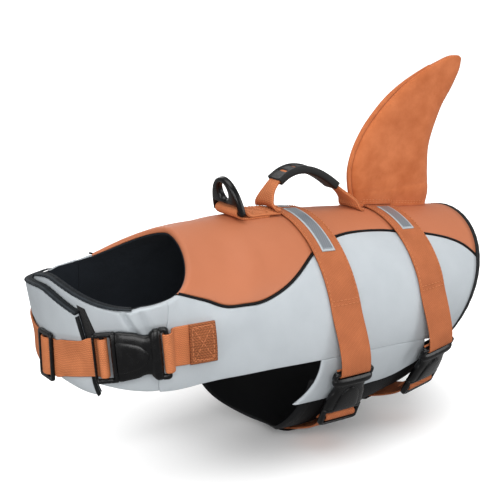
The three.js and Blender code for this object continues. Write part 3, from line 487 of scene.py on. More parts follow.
def looped(name, colour, shade):
    """Touch fastener: a mat of tiny loops."""
    material, tree, shader, _, where = start_material(name, Roughness=1.0, Sheen_Weight=0.1)
    loops = link(tree, "ShaderNodeTexVoronoi", {"Vector": where, "Scale": 1500.0}).outputs["Distance"]
    mixed = blend_colours(tree, loops, linear(colour), linear(shade))
    finish_material(tree, shader, mixed, loops, 0.5)
    return material


def reflective(name, colour, shade):
    """Reflective tape: a fine diamond lattice under a smooth face."""
    material, tree, shader, uv, where = start_material(name, Metallic=0.35, Coat_Weight=0.3)
    axes = link(tree, "ShaderNodeSeparateXYZ", {0: uv})
    rising = thread_wave(tree, plus(tree, axes.outputs[0], axes.outputs[1]), 2.4)
    falling = thread_wave(tree, sums(tree, "SUBTRACT", axes.outputs[0], axes.outputs[1]), 2.4)
    lattice = sums(tree, "POWER", times(tree, rising, falling), 0.3)
    rough = plus(tree, 0.3, times(tree, noise(tree, where, 300, 3.0), 0.2))
    mixed = blend_colours(tree, lattice, linear(shade), linear(colour))
    finish_material(tree, shader, mixed, lattice, 0.04, rough)
    return material


LOOKS = {
    "orange": coated("coated_orange", (180, 109, 75), (166, 96, 63), Specular_IOR_Level=0.35),
    "grey": woven("grey_cloth", (184, 190, 194), (166, 172, 177), 0.9, 0.12,
                  Roughness=0.8, Specular_IOR_Level=0.3),
    "lining": woven("lining_cloth", (28, 33, 40), (17, 21, 25), 1.2, 0.12,
                    Roughness=0.7, Specular_IOR_Level=0.2),
    "black_cloth": woven("black_cloth", (16, 17, 19), (9, 9, 11), 1.0, 0.12,
                         Roughness=0.72, Specular_IOR_Level=0.2),
    # The black tape and the ribbed elastic take their lighter second colour on the cord crests: a painted
    # highlight.
    "black_tape": ribbed("black_tape", (8, 9, 10), (26, 28, 31), 1.3, 0.2,
                         Roughness=0.6, Specular_IOR_Level=0.25),
    "elastic": ribbed("ribbed_elastic", (15, 18, 21), (52, 58, 63), 2.1, 0.5,
                      Roughness=0.8, Specular_IOR_Level=0.2),
    "webbing": webbing_look("orange_webbing", (214, 132, 86), (150, 84, 50)),
    "girth_webbing": webbing_look("orange_girth_webbing", (190, 112, 72), (138, 76, 45), 1.5, 100),
    "patch_webbing": webbing_look("orange_patch_webbing", (168, 100, 62), (88, 46, 27), 2.2, 6, 0.4),
    "suede": suede("fin_suede", (200, 118, 74), (172, 92, 50)),
    "plastic": moulded("black_plastic", (5, 5, 6), (10, 10, 11), 0.22, 0.02,
                       Specular_IOR_Level=0.3),
    "rubber": moulded("black_rubber", (10, 11, 11), (20, 21, 22), 0.45, 0.09,
                      Specular_IOR_Level=0.35),
    "reflector": reflective("reflective_tape", (134, 140, 146), (104, 110, 116)),
    "reflector_edge": woven("reflective_border", (172, 180, 184), (146, 154, 158), 0.8, 0.1, Roughness=0.6),
    "loops": looped("touch_fastener", (4, 4, 5), (16, 16, 18)),
    "thread_orange": ribbed("orange_thread", (214, 138, 88), (176, 96, 52), 0.5, 0.1, Roughness=0.6),
    # The black thread takes its lighter second colour on the thread crests: a painted highlight.
    "thread_black": ribbed("black_thread", (8, 8, 9), (24, 24, 27), 0.5, 0.1, Roughness=0.6),
    "thread_grey": ribbed("grey_thread", (188, 194, 198), (150, 156, 160), 0.5, 0.1, Roughness=0.6),
}


# Panels

def places(count, *close):
    """Even places from 0 to 1 with closer ones near both ends."""
    ends = np.array(close)
    return np.concatenate([[0], ends, np.linspace(ends[-1], 1 - ends[-1], count)[1:-1], 1 - ends[::-1], [1]])


ROUND_ENDS = (0.002, 0.006, 0.012, 0.02, 0.032, 0.05)


def edge_drop(base, edges):
    """How far the edges of a panel sink: (round radius, seam pull, pull width) for its first row, last
    row, first column and last column, or None where it runs on."""
    down, across = arc(base, 0), arc(base, 1)
    drop = np.zeros(base.shape[:2])
    for distance, edge in zip((down, down[-1:] - down, across, across[:, -1:] - across), edges):
        if edge is None:
            continue
        radius, pull, width = edge
        inside = np.clip(1 - distance / radius, 0, 1)
        drop += radius * (1 - np.sqrt(1 - inside ** 2)) + pull * np.exp(-distance / width)
    return drop


def creases(base, table, side=1):
    """Relief of listed creases: station and angle of both ends, depth (minus is a trough), width."""
    relief = np.zeros(base.shape[:2])
    for station_a, angle_a, station_b, angle_b, depth, width in table:
        t = np.linspace(0, 1, 14)
        bow = 0.06 * np.sin(math.pi * t) * (1 if depth > 0 else -1)
        line = outside(mix(station_a, station_b, t) + bow, side * mix(angle_a, angle_b, t))
        distance = np.linalg.norm(base[:, :, None] - line, axis=-1)
        nearest = distance.argmin(-1)
        strength = np.sin(math.pi * np.clip(t[nearest] * 0.84 + 0.08, 0, 1)) ** 0.7
        relief += depth * strength * np.exp(-(distance.min(-1) / width) ** 2)
    return relief


def strap_press(base, angle, deep=0.5):
    """The cloth is drawn down under the girth straps and eases back up within 7 mm beside them."""
    relief = np.zeros(base.shape[:2])
    for strap in GIRTH_STRAPS:
        off = np.abs(base[..., 0] - strap["x"]) - GIRTH_WIDTH / 2
        relief -= deep * (1 - ease(off / 7)) * (np.abs(angle) < 175)
    return relief


def chest_press(base, deep):
    """The cloth is drawn in under the chest strap."""
    bearing = np.degrees(np.arctan2(base[..., 1], base[..., 0] - CHEST_AXIS_X))
    bearing = np.where(bearing > 0, bearing - 360, bearing)
    off = np.abs(base[..., 2] - CHEST_HEIGHT(bearing)) - CHEST_WIDTH / 2
    return -deep * (1 - ease(off / 5)) * (bearing < -88) * (bearing > -276)


def body_place(s, t, upper, lower, end_gap):
    station = s * REAR
    for _ in range(4):
        angle = mix(upper(station), lower(station), t)
        near = s * REAR - 7
        station = np.where(near > 0, mix(7, before_rear(angle, end_gap), near), s * REAR)
    return station, angle


def panel(name, station, angle, material, node, outer=0.0, inner=SHELL_INNER, edges=(None,) * 4, relief=None):
    base, normal = outside(station, angle), outward(station, angle)
    lift = outer - edge_drop(base, edges)
    if relief is not None:
        lift = lift + relief(base)
    inner_lift = np.broadcast_to(inner, lift.shape)
    lift = np.maximum(lift, inner_lift + 0.4)
    parts = shell_parts(base + normal * lift[..., None], base + normal * inner_lift[..., None])
    return add_piece(name, parts, material, node)


GIRTH_STRAPS = [
    {"name": "front", "x": -4.5, "belly_x": -2, "buckle_x": -3, "buckle_angle": 116.5,
     "strip": (2.5, 42), "sewn": 70},
    {"name": "rear", "x": 106.5, "belly_x": 94, "buckle_x": 105, "buckle_angle": 120.5,
     "strip": (7, 33), "sewn": 72},
]

# Creases of the side panels, as positive angles: two soft folds under the neck rim as the photograph
# shows, fainter ones along the trunk, and pulls towards the front leg
SIDE_CREASES = [
    (0.02, 90, 0.5, 97, -1.1, 4.5), (0.02, 80, 0.62, 90, -0.9, 7), (0.05, 97, 0.7, 107, 0.5, 6),
    (0.3, 84, 1.1, 88, 0.45, 9), (1.2, 86, 2.3, 74, -0.5, 13), (2.0, 96, 3.1, 80, -0.45, 12),
    (2.6, 78, 3.3, 92, -0.5, 10), (4.55, 60, 4.8, 84, -0.6, 8), (5.2, 52, 5.6, 80, -0.35, 11),
    (6.1, 58, 5.95, 84, -0.5, 8), (7.2, 60, 7.1, 92, -0.6, 9), (7.7, 70, 7.5, 96, 0.4, 7),
]
BACK_CREASES = [
    (0.1, 20, 0.9, 44, -0.5, 12), (0.2, -30, 1.0, -48, -0.5, 12), (1.6, 10, 2.6, 42, -0.35, 14),
    (2.8, -24, 3.2, -50, -0.5, 10), (3.1, 20, 3.3, 46, -0.4, 11), (5.0, -6, 5.3, -24, -0.5, 8),
    (5.1, 8, 5.5, 26, -0.4, 9), (7.3, -10, 7.2, -34, -0.45, 9), (7.3, 12, 7.4, 30, -0.4, 9),
]
SEAM_EDGE = (1.1, 0.9, 7)
RIM_EDGE = (4.2, 0.3, 9)
BODY_PUFF = 0.6
PIPING_SLOT = 1.4
PIPING_HALF = 1.0


def body_grid(columns, rows):
    """Columns of a body panel run closer where the front of the sides turns in."""
    front = np.linspace(0.006, 0.375, columns // 2)
    rest = np.linspace(0.375, 1, columns - columns // 2 + 1)[1:]
    s = np.concatenate([[0, 0.0008, 0.0025], front, rest])
    return np.meshgrid(s, places(rows, *ROUND_ENDS))


def add_back():
    s, t = body_grid(120, 64)
    station, angle = body_place(s, t, lambda u: -beside(PIPING_LINE, u, -PIPING_SLOT),
                                lambda u: beside(PIPING_LINE, u, -PIPING_SLOT), BINDING_WIDTH)

    def relief(base):
        return strap_press(base, angle) + creases(base, BACK_CREASES)

    obj = panel("back_cloth", station, angle, LOOKS["orange"], "back_panel", BODY_PUFF,
                edges=(SEAM_EDGE, SEAM_EDGE, RIM_EDGE, None), relief=relief)


def lower_edge(station):
    return np.where(station < 2, COLLAR_FOLD(station), BELLY_SEAM(station))


def add_side(side, side_name):
    s, t = body_grid(120, 44)
    station, angle = body_place(s, t, lambda u: beside(PIPING_LINE, u, PIPING_SLOT), lower_edge,
                                BINDING_WIDTH)
    angle = side * angle

    def relief(base):
        seam = np.exp(-(arc(base, 0)[-1:] - arc(base, 0)) / 3) * (station < 2)
        folds = creases(base, SIDE_CREASES, side) + chest_press(base, 0.5 * (station < 2))
        return strap_press(base, angle) + folds + 0.4 * seam

    obj = panel(f"side_cloth_{side_name}", station, angle, LOOKS["grey"], f"side_panel_{side_name}",
                BODY_PUFF, edges=(SEAM_EDGE, (0.6, 0.5, 6), RIM_EDGE, None), relief=relief)


def add_lining():
    s, t = body_grid(90, 56)
    station, angle = body_place(s, t, lambda u: -lower_edge(u), lower_edge, BINDING_WIDTH)
    obj = panel("lining", station, angle, LOOKS["lining"], "lining_body", LINING_OUTER, -WALL,
                edges=(None, None, (1.2, 0, 1), None))


# Seams, bindings and collar

def sweep(path, normals, profile):
    """Rings of a tube along a path. profile is an outline of (across, out) in mm."""
    along = unit(np.gradient(path, axis=0))
    across = unit(np.cross(along, normals))
    out = np.cross(across, along)
    wide, tall = np.moveaxis(np.asarray(profile), -1, 0)[:, None, :, None]
    return path[:, None] + across[:, None] * wide + out[:, None] * tall


def oval(half_across, half_out, sides=12):
    turn = np.linspace(0, 2 * math.pi, sides, endpoint=False)
    return np.stack([half_across * np.cos(turn), half_out * np.sin(turn)], -1)


def stitches(path, normals, length=2.8, gap=1.2, radius=0.42, out=0.15):
    """A row of sewn stitches along a path: short threads that dip at both ends."""
    t = arc(path[:, None], 0)[:, 0]
    count = max(int(t[-1] / (length + gap)), 1)
    pitch = t[-1] / count
    shape = np.array([0, 0.2, 0.5, 0.8, 1])
    rise = np.array([-0.6, 0.1, 0.25, 0.1, -0.6])
    wide = np.array([0.45, 0.95, 1.0, 0.95, 0.45])
    parts = []
    for i in range(count):
        at = i * pitch + gap / 2 + shape * (pitch - gap)
        line = np.stack([np.interp(at, t, path[:, k]) for k in range(3)], -1)
        normal = unit(np.stack([np.interp(at, t, normals[:, k]) for k in range(3)], -1))
        rings = sweep(line + normal * (out + rise[:, None] * radius), normal, oval(radius, radius * 0.8, 5))
        centre = rings.mean(1, keepdims=True)
        parts.append(tube_parts(centre + (rings - centre) * wide[:, None, None]))
    return parts


def on_line(station, angle, lift):
    return point(station, angle, lift), outward(station, angle)


def add_stitches(name, rows, look="thread_orange", **sizes):
    """One piece of several rows of stitches, each a pair of path and normals."""
    parts = [part for path, normals in rows for part in stitches(path, normals, **sizes)]
    return add_piece(name, joined(parts), LOOKS[look])


def add_piping(side, side_name):
    s = np.linspace(0.0015, 1, 170)
    station, angle = body_place(s, np.zeros_like(s), PIPING_LINE, PIPING_LINE, BINDING_WIDTH + 2)
    path, normals = on_line(station, side * angle, -0.35)
    path = path + normals * (0.12 * np.sin(np.linspace(0, 60, len(s))))[:, None]
    cord = tube_parts(sweep(path, normals, oval(PIPING_HALF, PIPING_HALF)))
    add_piece(f"piping_cord_{side_name}", cord, LOOKS["black_cloth"], f"piping_{side_name}")


def add_rear_binding():
    corner = float(BELLY_SEAM(REAR))
    angle = np.linspace(-corner, corner, 150)
    turn = np.linspace(0, 2 * math.pi, 28, endpoint=False)
    c, w = np.cos(turn), np.sin(turn)
    half_wide, half_thick = BINDING_WIDTH / 2, (WALL + 1.8) / 2
    forward = half_wide * (1 - np.sign(c) * np.abs(c) ** 0.6)
    lift = half_thick * np.sign(w) * np.abs(w) ** 0.55 - WALL / 2 + 0.15
    rows = []
    for distance, height in zip(forward, lift):
        ripple = 0.12 * np.sin(angle * 0.9 + distance)
        rows.append(point(before_rear(angle, distance), angle, height + ripple))
    add_piece("rear_tape", tube_parts(np.stack(rows, 1)), LOOKS["black_tape"], "rear_binding")
    s = np.linspace(-corner + 1, corner - 1, 260)
    row = on_line(before_rear(s, BINDING_WIDTH - 1.3), s, 0.85)
    add_stitches("rear_tape_stitches", [row], "thread_black", radius=0.3)


HALVES = [
    {"name": "left", "side": -1, "end": 213, "lower": COLLAR_LOWER_LEFT, "upper": lambda angle: 0 * angle},
    {"name": "right", "side": 1, "end": 205, "lower": COLLAR_LOWER_RIGHT, "upper": COLLAR_UPPER_RIGHT},
]
COLLAR_BINDING_TALL = 2.6
COLLAR_PUFF = 0.5
BINDING_FROM = 0.22


def collar_lift(half, station, angle):
    if half["side"] < 0:
        return np.zeros(np.shape(angle))
    start = COLLAR_FOLD(station)
    return COLLAR_STEP * ease((angle - start) / (COLLAR_STEP_DONE - start))


def collar_place(half, s, t):
    """s runs round the half from the fold, t from the upper to the lower edge."""
    angle, station = mix(100, half["end"], s), t * 1.7
    for _ in range(8):
        bound = np.clip((s - BINDING_FROM) * 14 + 1, 0, 1)
        top = half["upper"](angle) + below_neck(half["side"] * angle, bound * COLLAR_BINDING_TALL)
        station = mix(top, half["lower"](angle), t)
        angle = mix(COLLAR_FOLD(station), half["end"], s)
    return station, angle


# Creases of the collar: the sharp fold left of the buckle and soft ones where the halves bend
COLLAR_CREASES = {
    "left": [(0.02, 121.5, 0.85, 117, -3.4, 2.0), (0.02, 118, 0.8, 114, 1.5, 2.6),
             (0.05, 126, 0.9, 121, 0.9, 4), (0.06, 109, 0.75, 111, -2.0, 3.2),
             (0.06, 104, 0.7, 106.5, 1.1, 3.4),
             (1.3, 112, 1.75, 117, -2.2, 2.4), (1.3, 107, 1.75, 112, 1.0, 3.0),
             (0.95, 101, 1.6, 108, -1.4, 4.0), (0.9, 150, 1.6, 172, -0.6, 9)],
    "right": [(0.2, 118, 0.9, 116, -1.1, 4.5), (0.25, 160, 0.75, 172, -0.6, 8), (1.3, 150, 1.7, 168, -0.7, 8),
              (0.3, 186, 0.8, 180, -0.5, 7), (1.2, 196, 1.7, 188, -0.6, 7), (0.4, 103, 1.5, 114, -0.6, 7)],
}


def add_collar(half):
    s, t = np.meshgrid(places(120, 0.004, 0.01, 0.02), places(60, *ROUND_ENDS))
    station, angle = collar_place(half, s, t)
    signed = half["side"] * angle
    lift = collar_lift(half, station, angle)

    def relief(base):
        seam = np.exp(-arc(base, 1) / 5) * 0.2
        return creases(base, COLLAR_CREASES[half["name"]], half["side"]) - seam + chest_press(base, 1.0)

    obj = panel(f"collar_cloth_{half['name']}", station, signed, LOOKS["grey"], f"collar_{half['name']}",
                lift + COLLAR_PUFF, lift + SHELL_INNER, relief=relief,
                edges=((1.8, 0.6, 6), (2.2, 0.5, 6), (0.2, 0.2, 6), (2.2, 0.6, 5)))
    lining = panel(f"collar_lining_{half['name']}", station[::2, ::2], signed[::2, ::2], LOOKS["lining"],
                   f"lining_collar_{half['name']}", lift[::2, ::2] + LINING_OUTER, lift[::2, ::2] - WALL)
    add_collar_binding(half)


def add_collar_binding(half):
    """Ribbed elastic folded over the neck edge, drawn into small uneven gathers."""
    s = np.linspace(BINDING_FROM - 0.01, 1, 150)
    angle = mix(COLLAR_FOLD(0.0), half["end"], s)
    turn = np.linspace(0, 2 * math.pi, 20, endpoint=False)
    c, w = np.cos(turn), np.sin(turn)
    gather = 0.35 * np.sin(angle * 2.1) + 0.2 * np.sin(angle * 5.3 + 1)
    lift = collar_lift(half, 0.1, angle)
    taper = 0.35 + 0.65 * ease((s - BINDING_FROM) / 0.2)
    rows = []
    for ci, wi in zip(c, w):
        distance = COLLAR_BINDING_TALL * 0.45 * (1 - np.sign(ci) * abs(ci) ** 0.7) * taper + 0.12 * gather
        height = (WALL / 2 + 0.35 * taper) * np.sign(wi) * abs(wi) ** 0.6
        height += 0.1 + 0.4 * gather * taper - WALL / 2
        station = np.maximum(half["upper"](angle) + below_neck(half["side"] * angle, distance), 0)
        rows.append(point(station, half["side"] * angle, height + lift))
    name = half["name"]
    elastic = tube_parts(np.stack(rows, 1))
    add_piece(f"collar_elastic_{name}", elastic, LOOKS["elastic"], f"collar_binding_{name}")


def add_collar_end_trim():
    """Black edging down the free end of the outer collar half."""
    half = HALVES[1]
    t = np.linspace(0.02, 1, 70)
    station, angle = collar_place(half, np.ones_like(t), t)
    path, normals = on_line(station, half["side"] * angle, collar_lift(half, station, angle) - 2.1)
    add_piece("collar_end_edging", tube_parts(sweep(path, normals, oval(1.0, 2.3))), LOOKS["black_tape"])


def add_fastener():
    s, t = np.meshgrid(places(16, 0.02, 0.06), places(16, 0.02, 0.06))
    angle = mix(mix(150.5, 145.5, t), 157, s)
    panel("touch_pad", mix(0.18, 0.87, t), -angle, LOOKS["loops"], "collar_fastener", 1.1, 0.2,
          edges=((0.6, 0, 1),) * 4)


# Flaps and belly

FLAP_CREASES = [
    (4.1, 100, 4.3, 120, -0.5, 5), (4.9, 98, 5.0, 118, -0.6, 6), (5.7, 102, 5.5, 119, 0.5, 6),
    (6.3, 104, 6.2, 118, -0.5, 5),
]


def add_flap(side, side_name):
    s, t = np.meshgrid(places(50, 0.01, 0.03), places(26, *ROUND_ENDS))
    station = mix(3.96 - 0.24 * t ** 2, 6.6, s)
    angle = side * mix(BELLY_SEAM(station), FLAP_LOWER(station), t)
    obj = panel(f"flap_{side_name}", station, angle, LOOKS["grey"], f"belly_flap_{side_name}", 0.25,
                -FLAP + 0.1, edges=((1.0, 0.5, 3), (0.9, 0.1, 3), (0.9, 0.1, 3), (0.9, 0.1, 3)),
                relief=lambda base: creases(base, FLAP_CREASES, side))


def add_belly():
    s, t = np.meshgrid(places(50, 0.01, 0.025, 0.045), places(90, 0.004, 0.01, 0.02))
    angle = mix(100.0, 252, t)
    station = mix(BELLY_FRONT(angle), 6.9, s)
    angle = np.where(t < 0.2, mix(BELLY_SEAM(station), angle, t / 0.2), angle)

    def relief(base):
        front = arc(base, 1)
        rim = 0.9 * np.exp(-((front - 4) / 4) ** 2)
        groove = -0.8 * np.exp(-((front - 14) / 1.6) ** 2)
        waves = 0.5 * np.sin(angle * 0.21 + station) * np.exp(-front / 60)
        return rim + groove + waves

    obj = panel("belly_cloth", station, angle, LOOKS["black_cloth"], "belly_panel", -FLAP - 0.3,
                -FLAP - BELLY, edges=((1.0, 0, 1), (1.0, 0, 1), (1.2, 0, 1), (1.2, 0, 1)), relief=relief)
    line = np.linspace(100, 246, 200)
    front = BELLY_FRONT(line)
    rows = [on_line(front + 0.1, line, -FLAP + 0.35), on_line(front + 0.34, line, -FLAP - 0.25)]
    add_stitches("belly_stitches", rows, "thread_black", radius=0.35)


# Webbing

def band(name, rows, thickness, material, node=(), spacing=1.6, edge=0.9, waves=0.0):
    """Webbing through rows of points across it, with rounded selvedges."""
    rows = even(rows, spacing)
    width = np.linalg.norm(rows[0, -1] - rows[0, 0])
    share = places(9, 0.2 * edge / width, 0.6 * edge / width, 1.3 * edge / width)
    rows = np.moveaxis(resample(np.moveaxis(rows, 1, 0), share), 0, 1)
    return add_piece(name, band_parts(rows, thickness, edge, waves), material, node)


def surface_normals(rows):
    return unit(np.cross(np.gradient(rows, axis=0), np.gradient(rows, axis=1)))


def band_parts(rows, thickness, edge, waves):
    normals = surface_normals(rows)
    across = arc(rows, 1)
    inside = np.clip(1 - np.minimum(across, across[:, -1:] - across) / edge, 0, 1)
    half = thickness / 2 * np.sqrt(np.maximum(1 - inside ** 2, 0.04))
    ripple = waves * np.sin(arc(rows, 0) * 0.17) * np.sin(arc(rows, 0) * 0.05 + 1)
    upper, lower = ((normals * (half * side + ripple)[..., None]) for side in (1, -1))
    return shell_parts(rows + upper, rows + lower)


GIRTH_LEAVES = 73
TUNNEL_HALF = 21
STITCH_LINE = 15.2
STRIP_HALF = 7.5
STRIP_FACE_HALF = 5.9
WEBBING_LIFT = 0.9
BELLY_FROM = 130
BELLY_REAR = 7.05
TUNNEL_THICK = 0.9
TUNNEL_FIRST = 118
TUNNEL_LAST = 200
GIRTH_SHARES = np.array([1, 0.5, 0, -0.5, -1])
LOOP_RADIUS = BAR_RADIUS + 0.5 + WEBBING / 2
BUCKLE_HALF = 32
FEMALE_BAR = -BUCKLE_HALF + BAR_RADIUS
MALE_BAR = BUCKLE_HALF - 8.5
BUCKLE_LIFT = 7.2
MALE_LOOP = [
    (8.8, -3.9), (5.4, -2.9), (3.5, -0.6), (2.6, 1.9), (0, 3.2), (-2.3, 2.3), (-3.2, 0),
    (-3, -2.8), (-0.5, -5.4), (4, -6.9), (9, -9),
]


def basis(centre, along, out):
    y = Vector(along).normalized()
    z = Vector(out)
    z = (z - y * z.dot(y)).normalized()
    placed = Matrix((y.cross(z), y, z)).transposed().to_4x4()
    placed.translation = Vector(centre)
    return placed


def placed(matrix, points):
    points = np.asarray(points, float)
    return points @ np.array(matrix.to_3x3()).T + np.array(matrix.translation)


def in_frame(matrix, half, line, shares):
    """Rows of points across a band that follows a line of (along, out) in a buckle's frame."""
    across = np.asarray(shares) * half
    return np.stack([placed(matrix, [(x, along, out) for x in across]) for along, out in line])


def female_loop(matrix, half, shares, row):
    """Tail, round the female bar and away to the row of points on the body."""
    local = matrix.inverted() @ Vector((row[0] + row[-1]) / 2)
    lean = math.atan2(-local.z, abs(local.y - FEMALE_BAR))
    line = [(FEMALE_BAR + LOOP_RADIUS * math.sin(lean) - back * math.cos(lean),
             -LOOP_RADIUS * math.cos(lean) - back * math.sin(lean)) for back in (3.5, 1.5)]
    for turn in lean - math.pi / 2 + np.linspace(0, math.pi, 6):
        line.append((FEMALE_BAR + LOOP_RADIUS * math.cos(turn), LOOP_RADIUS * math.sin(turn)))
    return in_frame(matrix, half, line, shares)


def male_loop(matrix, half, shares):
    return in_frame(matrix, half, [(MALE_BAR + past, out) for past, out in MALE_LOOP], shares)


def girth_rows(strap, angles, offsets=None, lift=None):
    angles = np.asarray(angles, float)[:, None]
    offsets = -GIRTH_SHARES * GIRTH_WIDTH / 2 if offsets is None else np.asarray(offsets, float)
    on_back = mix(strap["x"], strap["buckle_x"], ease((-angles - 60) / 40))
    x = mix(on_back, strap["belly_x"], ease((angles - 95) / 45))
    sunk = (FLAP - 0.1) * ease((angles - 122) / 14)
    high = np.where(angles > BELLY_FROM, BELLY_REAR, REAR)
    a = station_where(angles, 0, x + offsets, 2.5, REAR)
    b = station_where(np.minimum(angles, 200), 0, x + offsets, 2.5, BELLY_REAR)
    station = np.where(high < REAR, b, a)
    return point(station, angles + 0 * offsets, (WEBBING_LIFT + WEBBING / 2 if lift is None else lift) - sunk)


def girth_frame(strap):
    angle = -float(strap["buckle_angle"])
    station = station_where(angle, 0, strap["buckle_x"])
    out = outward(station, angle)
    down = -slopes_at(station, angle)[1]
    down[0] = 0
    return basis(outside(station, angle) + out * BUCKLE_LIFT, down, out)


def add_girth(strap):
    name, matrix = strap["name"], girth_frame(strap)
    over = girth_rows(strap, np.linspace(-GIRTH_LEAVES, 199, 47))
    rows = np.concatenate([
        female_loop(matrix, GIRTH_WIDTH / 2, GIRTH_SHARES, over[0]), over,
        male_loop(matrix, GIRTH_WIDTH / 2, GIRTH_SHARES),
    ])
    band(f"girth_webbing_{name}", rows, WEBBING, LOOKS["girth_webbing"], f"girth_strap_{name}", waves=0.1)
    across = np.linspace(-TUNNEL_HALF, TUNNEL_HALF, 9)
    tunnel = girth_rows(strap, np.linspace(TUNNEL_FIRST, TUNNEL_LAST, 60), across, 1.4 + WEBBING)
    band(f"girth_tunnel_{name}", tunnel, TUNNEL_THICK, LOOKS["black_cloth"], edge=0.4, waves=0.25)
    add_buckle(f"girth_{name}", matrix, [f"girth_buckle_{name}_female", f"girth_buckle_{name}_male"])
    top = WEBBING_LIFT + WEBBING
    seams = []
    for angle in (-strap["sewn"], strap["sewn"], -strap["sewn"] + 2.2):
        row = girth_rows(strap, [angle], np.linspace(-15.5, 15.5, 24), top)[0]
        seams.append((row, outward(station_where(angle, 0, row[:, 0]), angle)))
    for offset in (-STITCH_LINE, STITCH_LINE):
        for low, high in ((-strap["sewn"], -3), (3, strap["sewn"])):
            angles = np.linspace(low, high, 60)
            row = girth_rows(strap, angles, [offset], top)[:, 0]
            seams.append((row, outward(station_where(angles, 0, row[:, 0]), angles)))
    add_stitches(f"girth_stitches_{name}", seams, radius=0.38)
    for side, side_name in ((-1, "left"), (1, "right")):
        add_reflector(strap, side, side_name)


def add_reflector(strap, side, side_name):
    """Reflective strip with a pale woven border sewn down round it."""
    name = f"{strap['name']}_{side_name}"
    first, last = strap["strip"]
    top = WEBBING_LIFT + WEBBING
    across = np.linspace(-STRIP_HALF, STRIP_HALF, 9)
    rows = girth_rows(strap, side * np.linspace(first, last, 40), across, top + 0.35)
    band(f"reflector_{name}_border", rows, 0.7, LOOKS["reflector_edge"], f"reflector_{name}", edge=0.4)
    across = np.linspace(-STRIP_FACE_HALF, STRIP_FACE_HALF, 7)
    inner = girth_rows(strap, side * np.linspace(first, last - 1.2, 40), across, top + 0.62)
    band(f"reflector_{name}_face", inner, 0.5, LOOKS["reflector"], edge=0.3)


# Buckles and hard parts

def rounded_outline(corners, steps=6):
    """Outline from corners of (x, y, radius)."""
    line = []
    count = len(corners)
    for i, (x, y, radius) in enumerate(corners):
        here = np.array([x, y], float)
        before = np.array(corners[i - 1][:2], float) - here
        after = np.array(corners[(i + 1) % count][:2], float) - here
        before, after = before / np.linalg.norm(before), after / np.linalg.norm(after)
        if not radius:
            line.append(here)
            continue
        reach = radius / math.tan(math.acos(np.clip(before @ after, -1, 1)) / 2)
        start, end = here + before * reach, here + after * reach
        for t in np.linspace(0, 1, steps):
            line.append((1 - t) ** 2 * start + 2 * t * (1 - t) * here + t * t * end)
    return np.array(line)


def slab_parts(outlines, thickness, bevel):
    """Flat plate of an outline with holes, its edges rounded."""
    curve = bpy.data.curves.new("outline", "CURVE")
    curve.dimensions, curve.fill_mode = "2D", "BOTH"
    curve.extrude, curve.bevel_depth, curve.offset = thickness / 2 - bevel, bevel, -bevel
    curve.bevel_resolution = 3
    for outline in outlines:
        spline = curve.splines.new("POLY")
        spline.points.add(len(outline) - 1)
        spline.points.foreach_set("co", np.pad(outline, ((0, 0), (0, 2)), constant_values=(0, 0)).ravel())
        spline.use_cyclic_u = True
    holder = bpy.data.objects.new("outline", curve)
    mesh = bpy.data.meshes.new_from_object(holder)
    work = bmesh.new()
    work.from_mesh(mesh)
    bmesh.ops.remove_doubles(work, verts=work.verts, dist=1e-4)
    points = np.array([v.co for v in work.verts])
    faces = [[v.index for v in face.verts] for face in work.faces]
    work.free()
    bpy.data.objects.remove(holder)
    bpy.data.meshes.remove(mesh)
    bpy.data.curves.remove(curve)
    return points, faces, points[:, :2] * MM


def loft_parts(sections, power=3.0, around=36, count=40):
    """Rounded body along Y. Columns of sections: y, middle z, half width, half height."""
    table = np.array(sections, float)
    y = np.linspace(table[0, 0], table[-1, 0], count)
    z, wide, tall = (smooth(list(zip(table[:, 0], table[:, k])))(y) for k in (1, 2, 3))
    turn = np.linspace(0, 2 * math.pi, around, endpoint=False)
    c = np.sign(np.cos(turn)) * np.abs(np.cos(turn)) ** (2 / power)
    w = np.sign(np.sin(turn)) * np.abs(np.sin(turn)) ** (2 / power)
    y, z, wide, tall = (values[:, None] for values in (y, z, wide, tall))
    return tube_parts(np.stack([wide * c, np.broadcast_to(y, (count, around)), z + tall * w], -1))


BUCKLE_WIDTH = 45.5
BUCKLE_SPLIT = 12.5
SLOT_END = FEMALE_BAR + BAR_RADIUS + 3.4
SLOT_HALF = BUCKLE_WIDTH / 2 - 4.5


def frame_outline(half, start, end, radius, holes):
    plates = [(start, end, half, radius)] + [(*hole, 1.2) for hole in holes]
    return [rounded_outline([(-w, a, r), (w, a, r), (w, b, r), (-w, b, r)]) for a, b, w, r in plates]


def moved(parts, offset):
    points, faces, uv = parts
    return points + offset, faces, uv


def female_parts():
    half = BUCKLE_WIDTH / 2
    hole = (FEMALE_BAR + BAR_RADIUS, SLOT_END, SLOT_HALF)
    ring = slab_parts(frame_outline(half, -BUCKLE_HALF, SLOT_END + 3, 4, [hole]), 5.6, 1.8)
    rim = loft_parts([(SLOT_END - 0.4, 0.3, half - 1.2, 2.6), (SLOT_END + 2, 0.9, half - 0.4, 4.4),
                      (SLOT_END + 6, 1.0, half - 0.9, 4.9), (SLOT_END + 9.5, 0.3, half - 4, 3.4)], 3.6)
    body = loft_parts([(SLOT_END + 3, 0, half - 3, 4.2), (-16, 0, half - 5.0, 4.7), (-11, 0, half - 5.6, 4.9),
                       (-4, 0, half - 3.2, 5.0), (4, 0, half - 1.9, 5.0), (9, 0, half - 1.0, 4.9),
                       (BUCKLE_SPLIT - 0.3, 0, half - 1.1, 4.6)], 3.2)
    leaf = loft_parts([(-14.5, 4.6, 1.5, 0.9), (-12.5, 4.9, 5.6, 1.3), (-8, 5.0, 9.4, 1.6), (0, 5.0, 12, 1.7),
                       (8, 4.8, 13.4, 1.6), (BUCKLE_SPLIT - 0.4, 4.5, 13.6, 1.5)], 2.2)
    return joined([ring, rim, body, leaf])


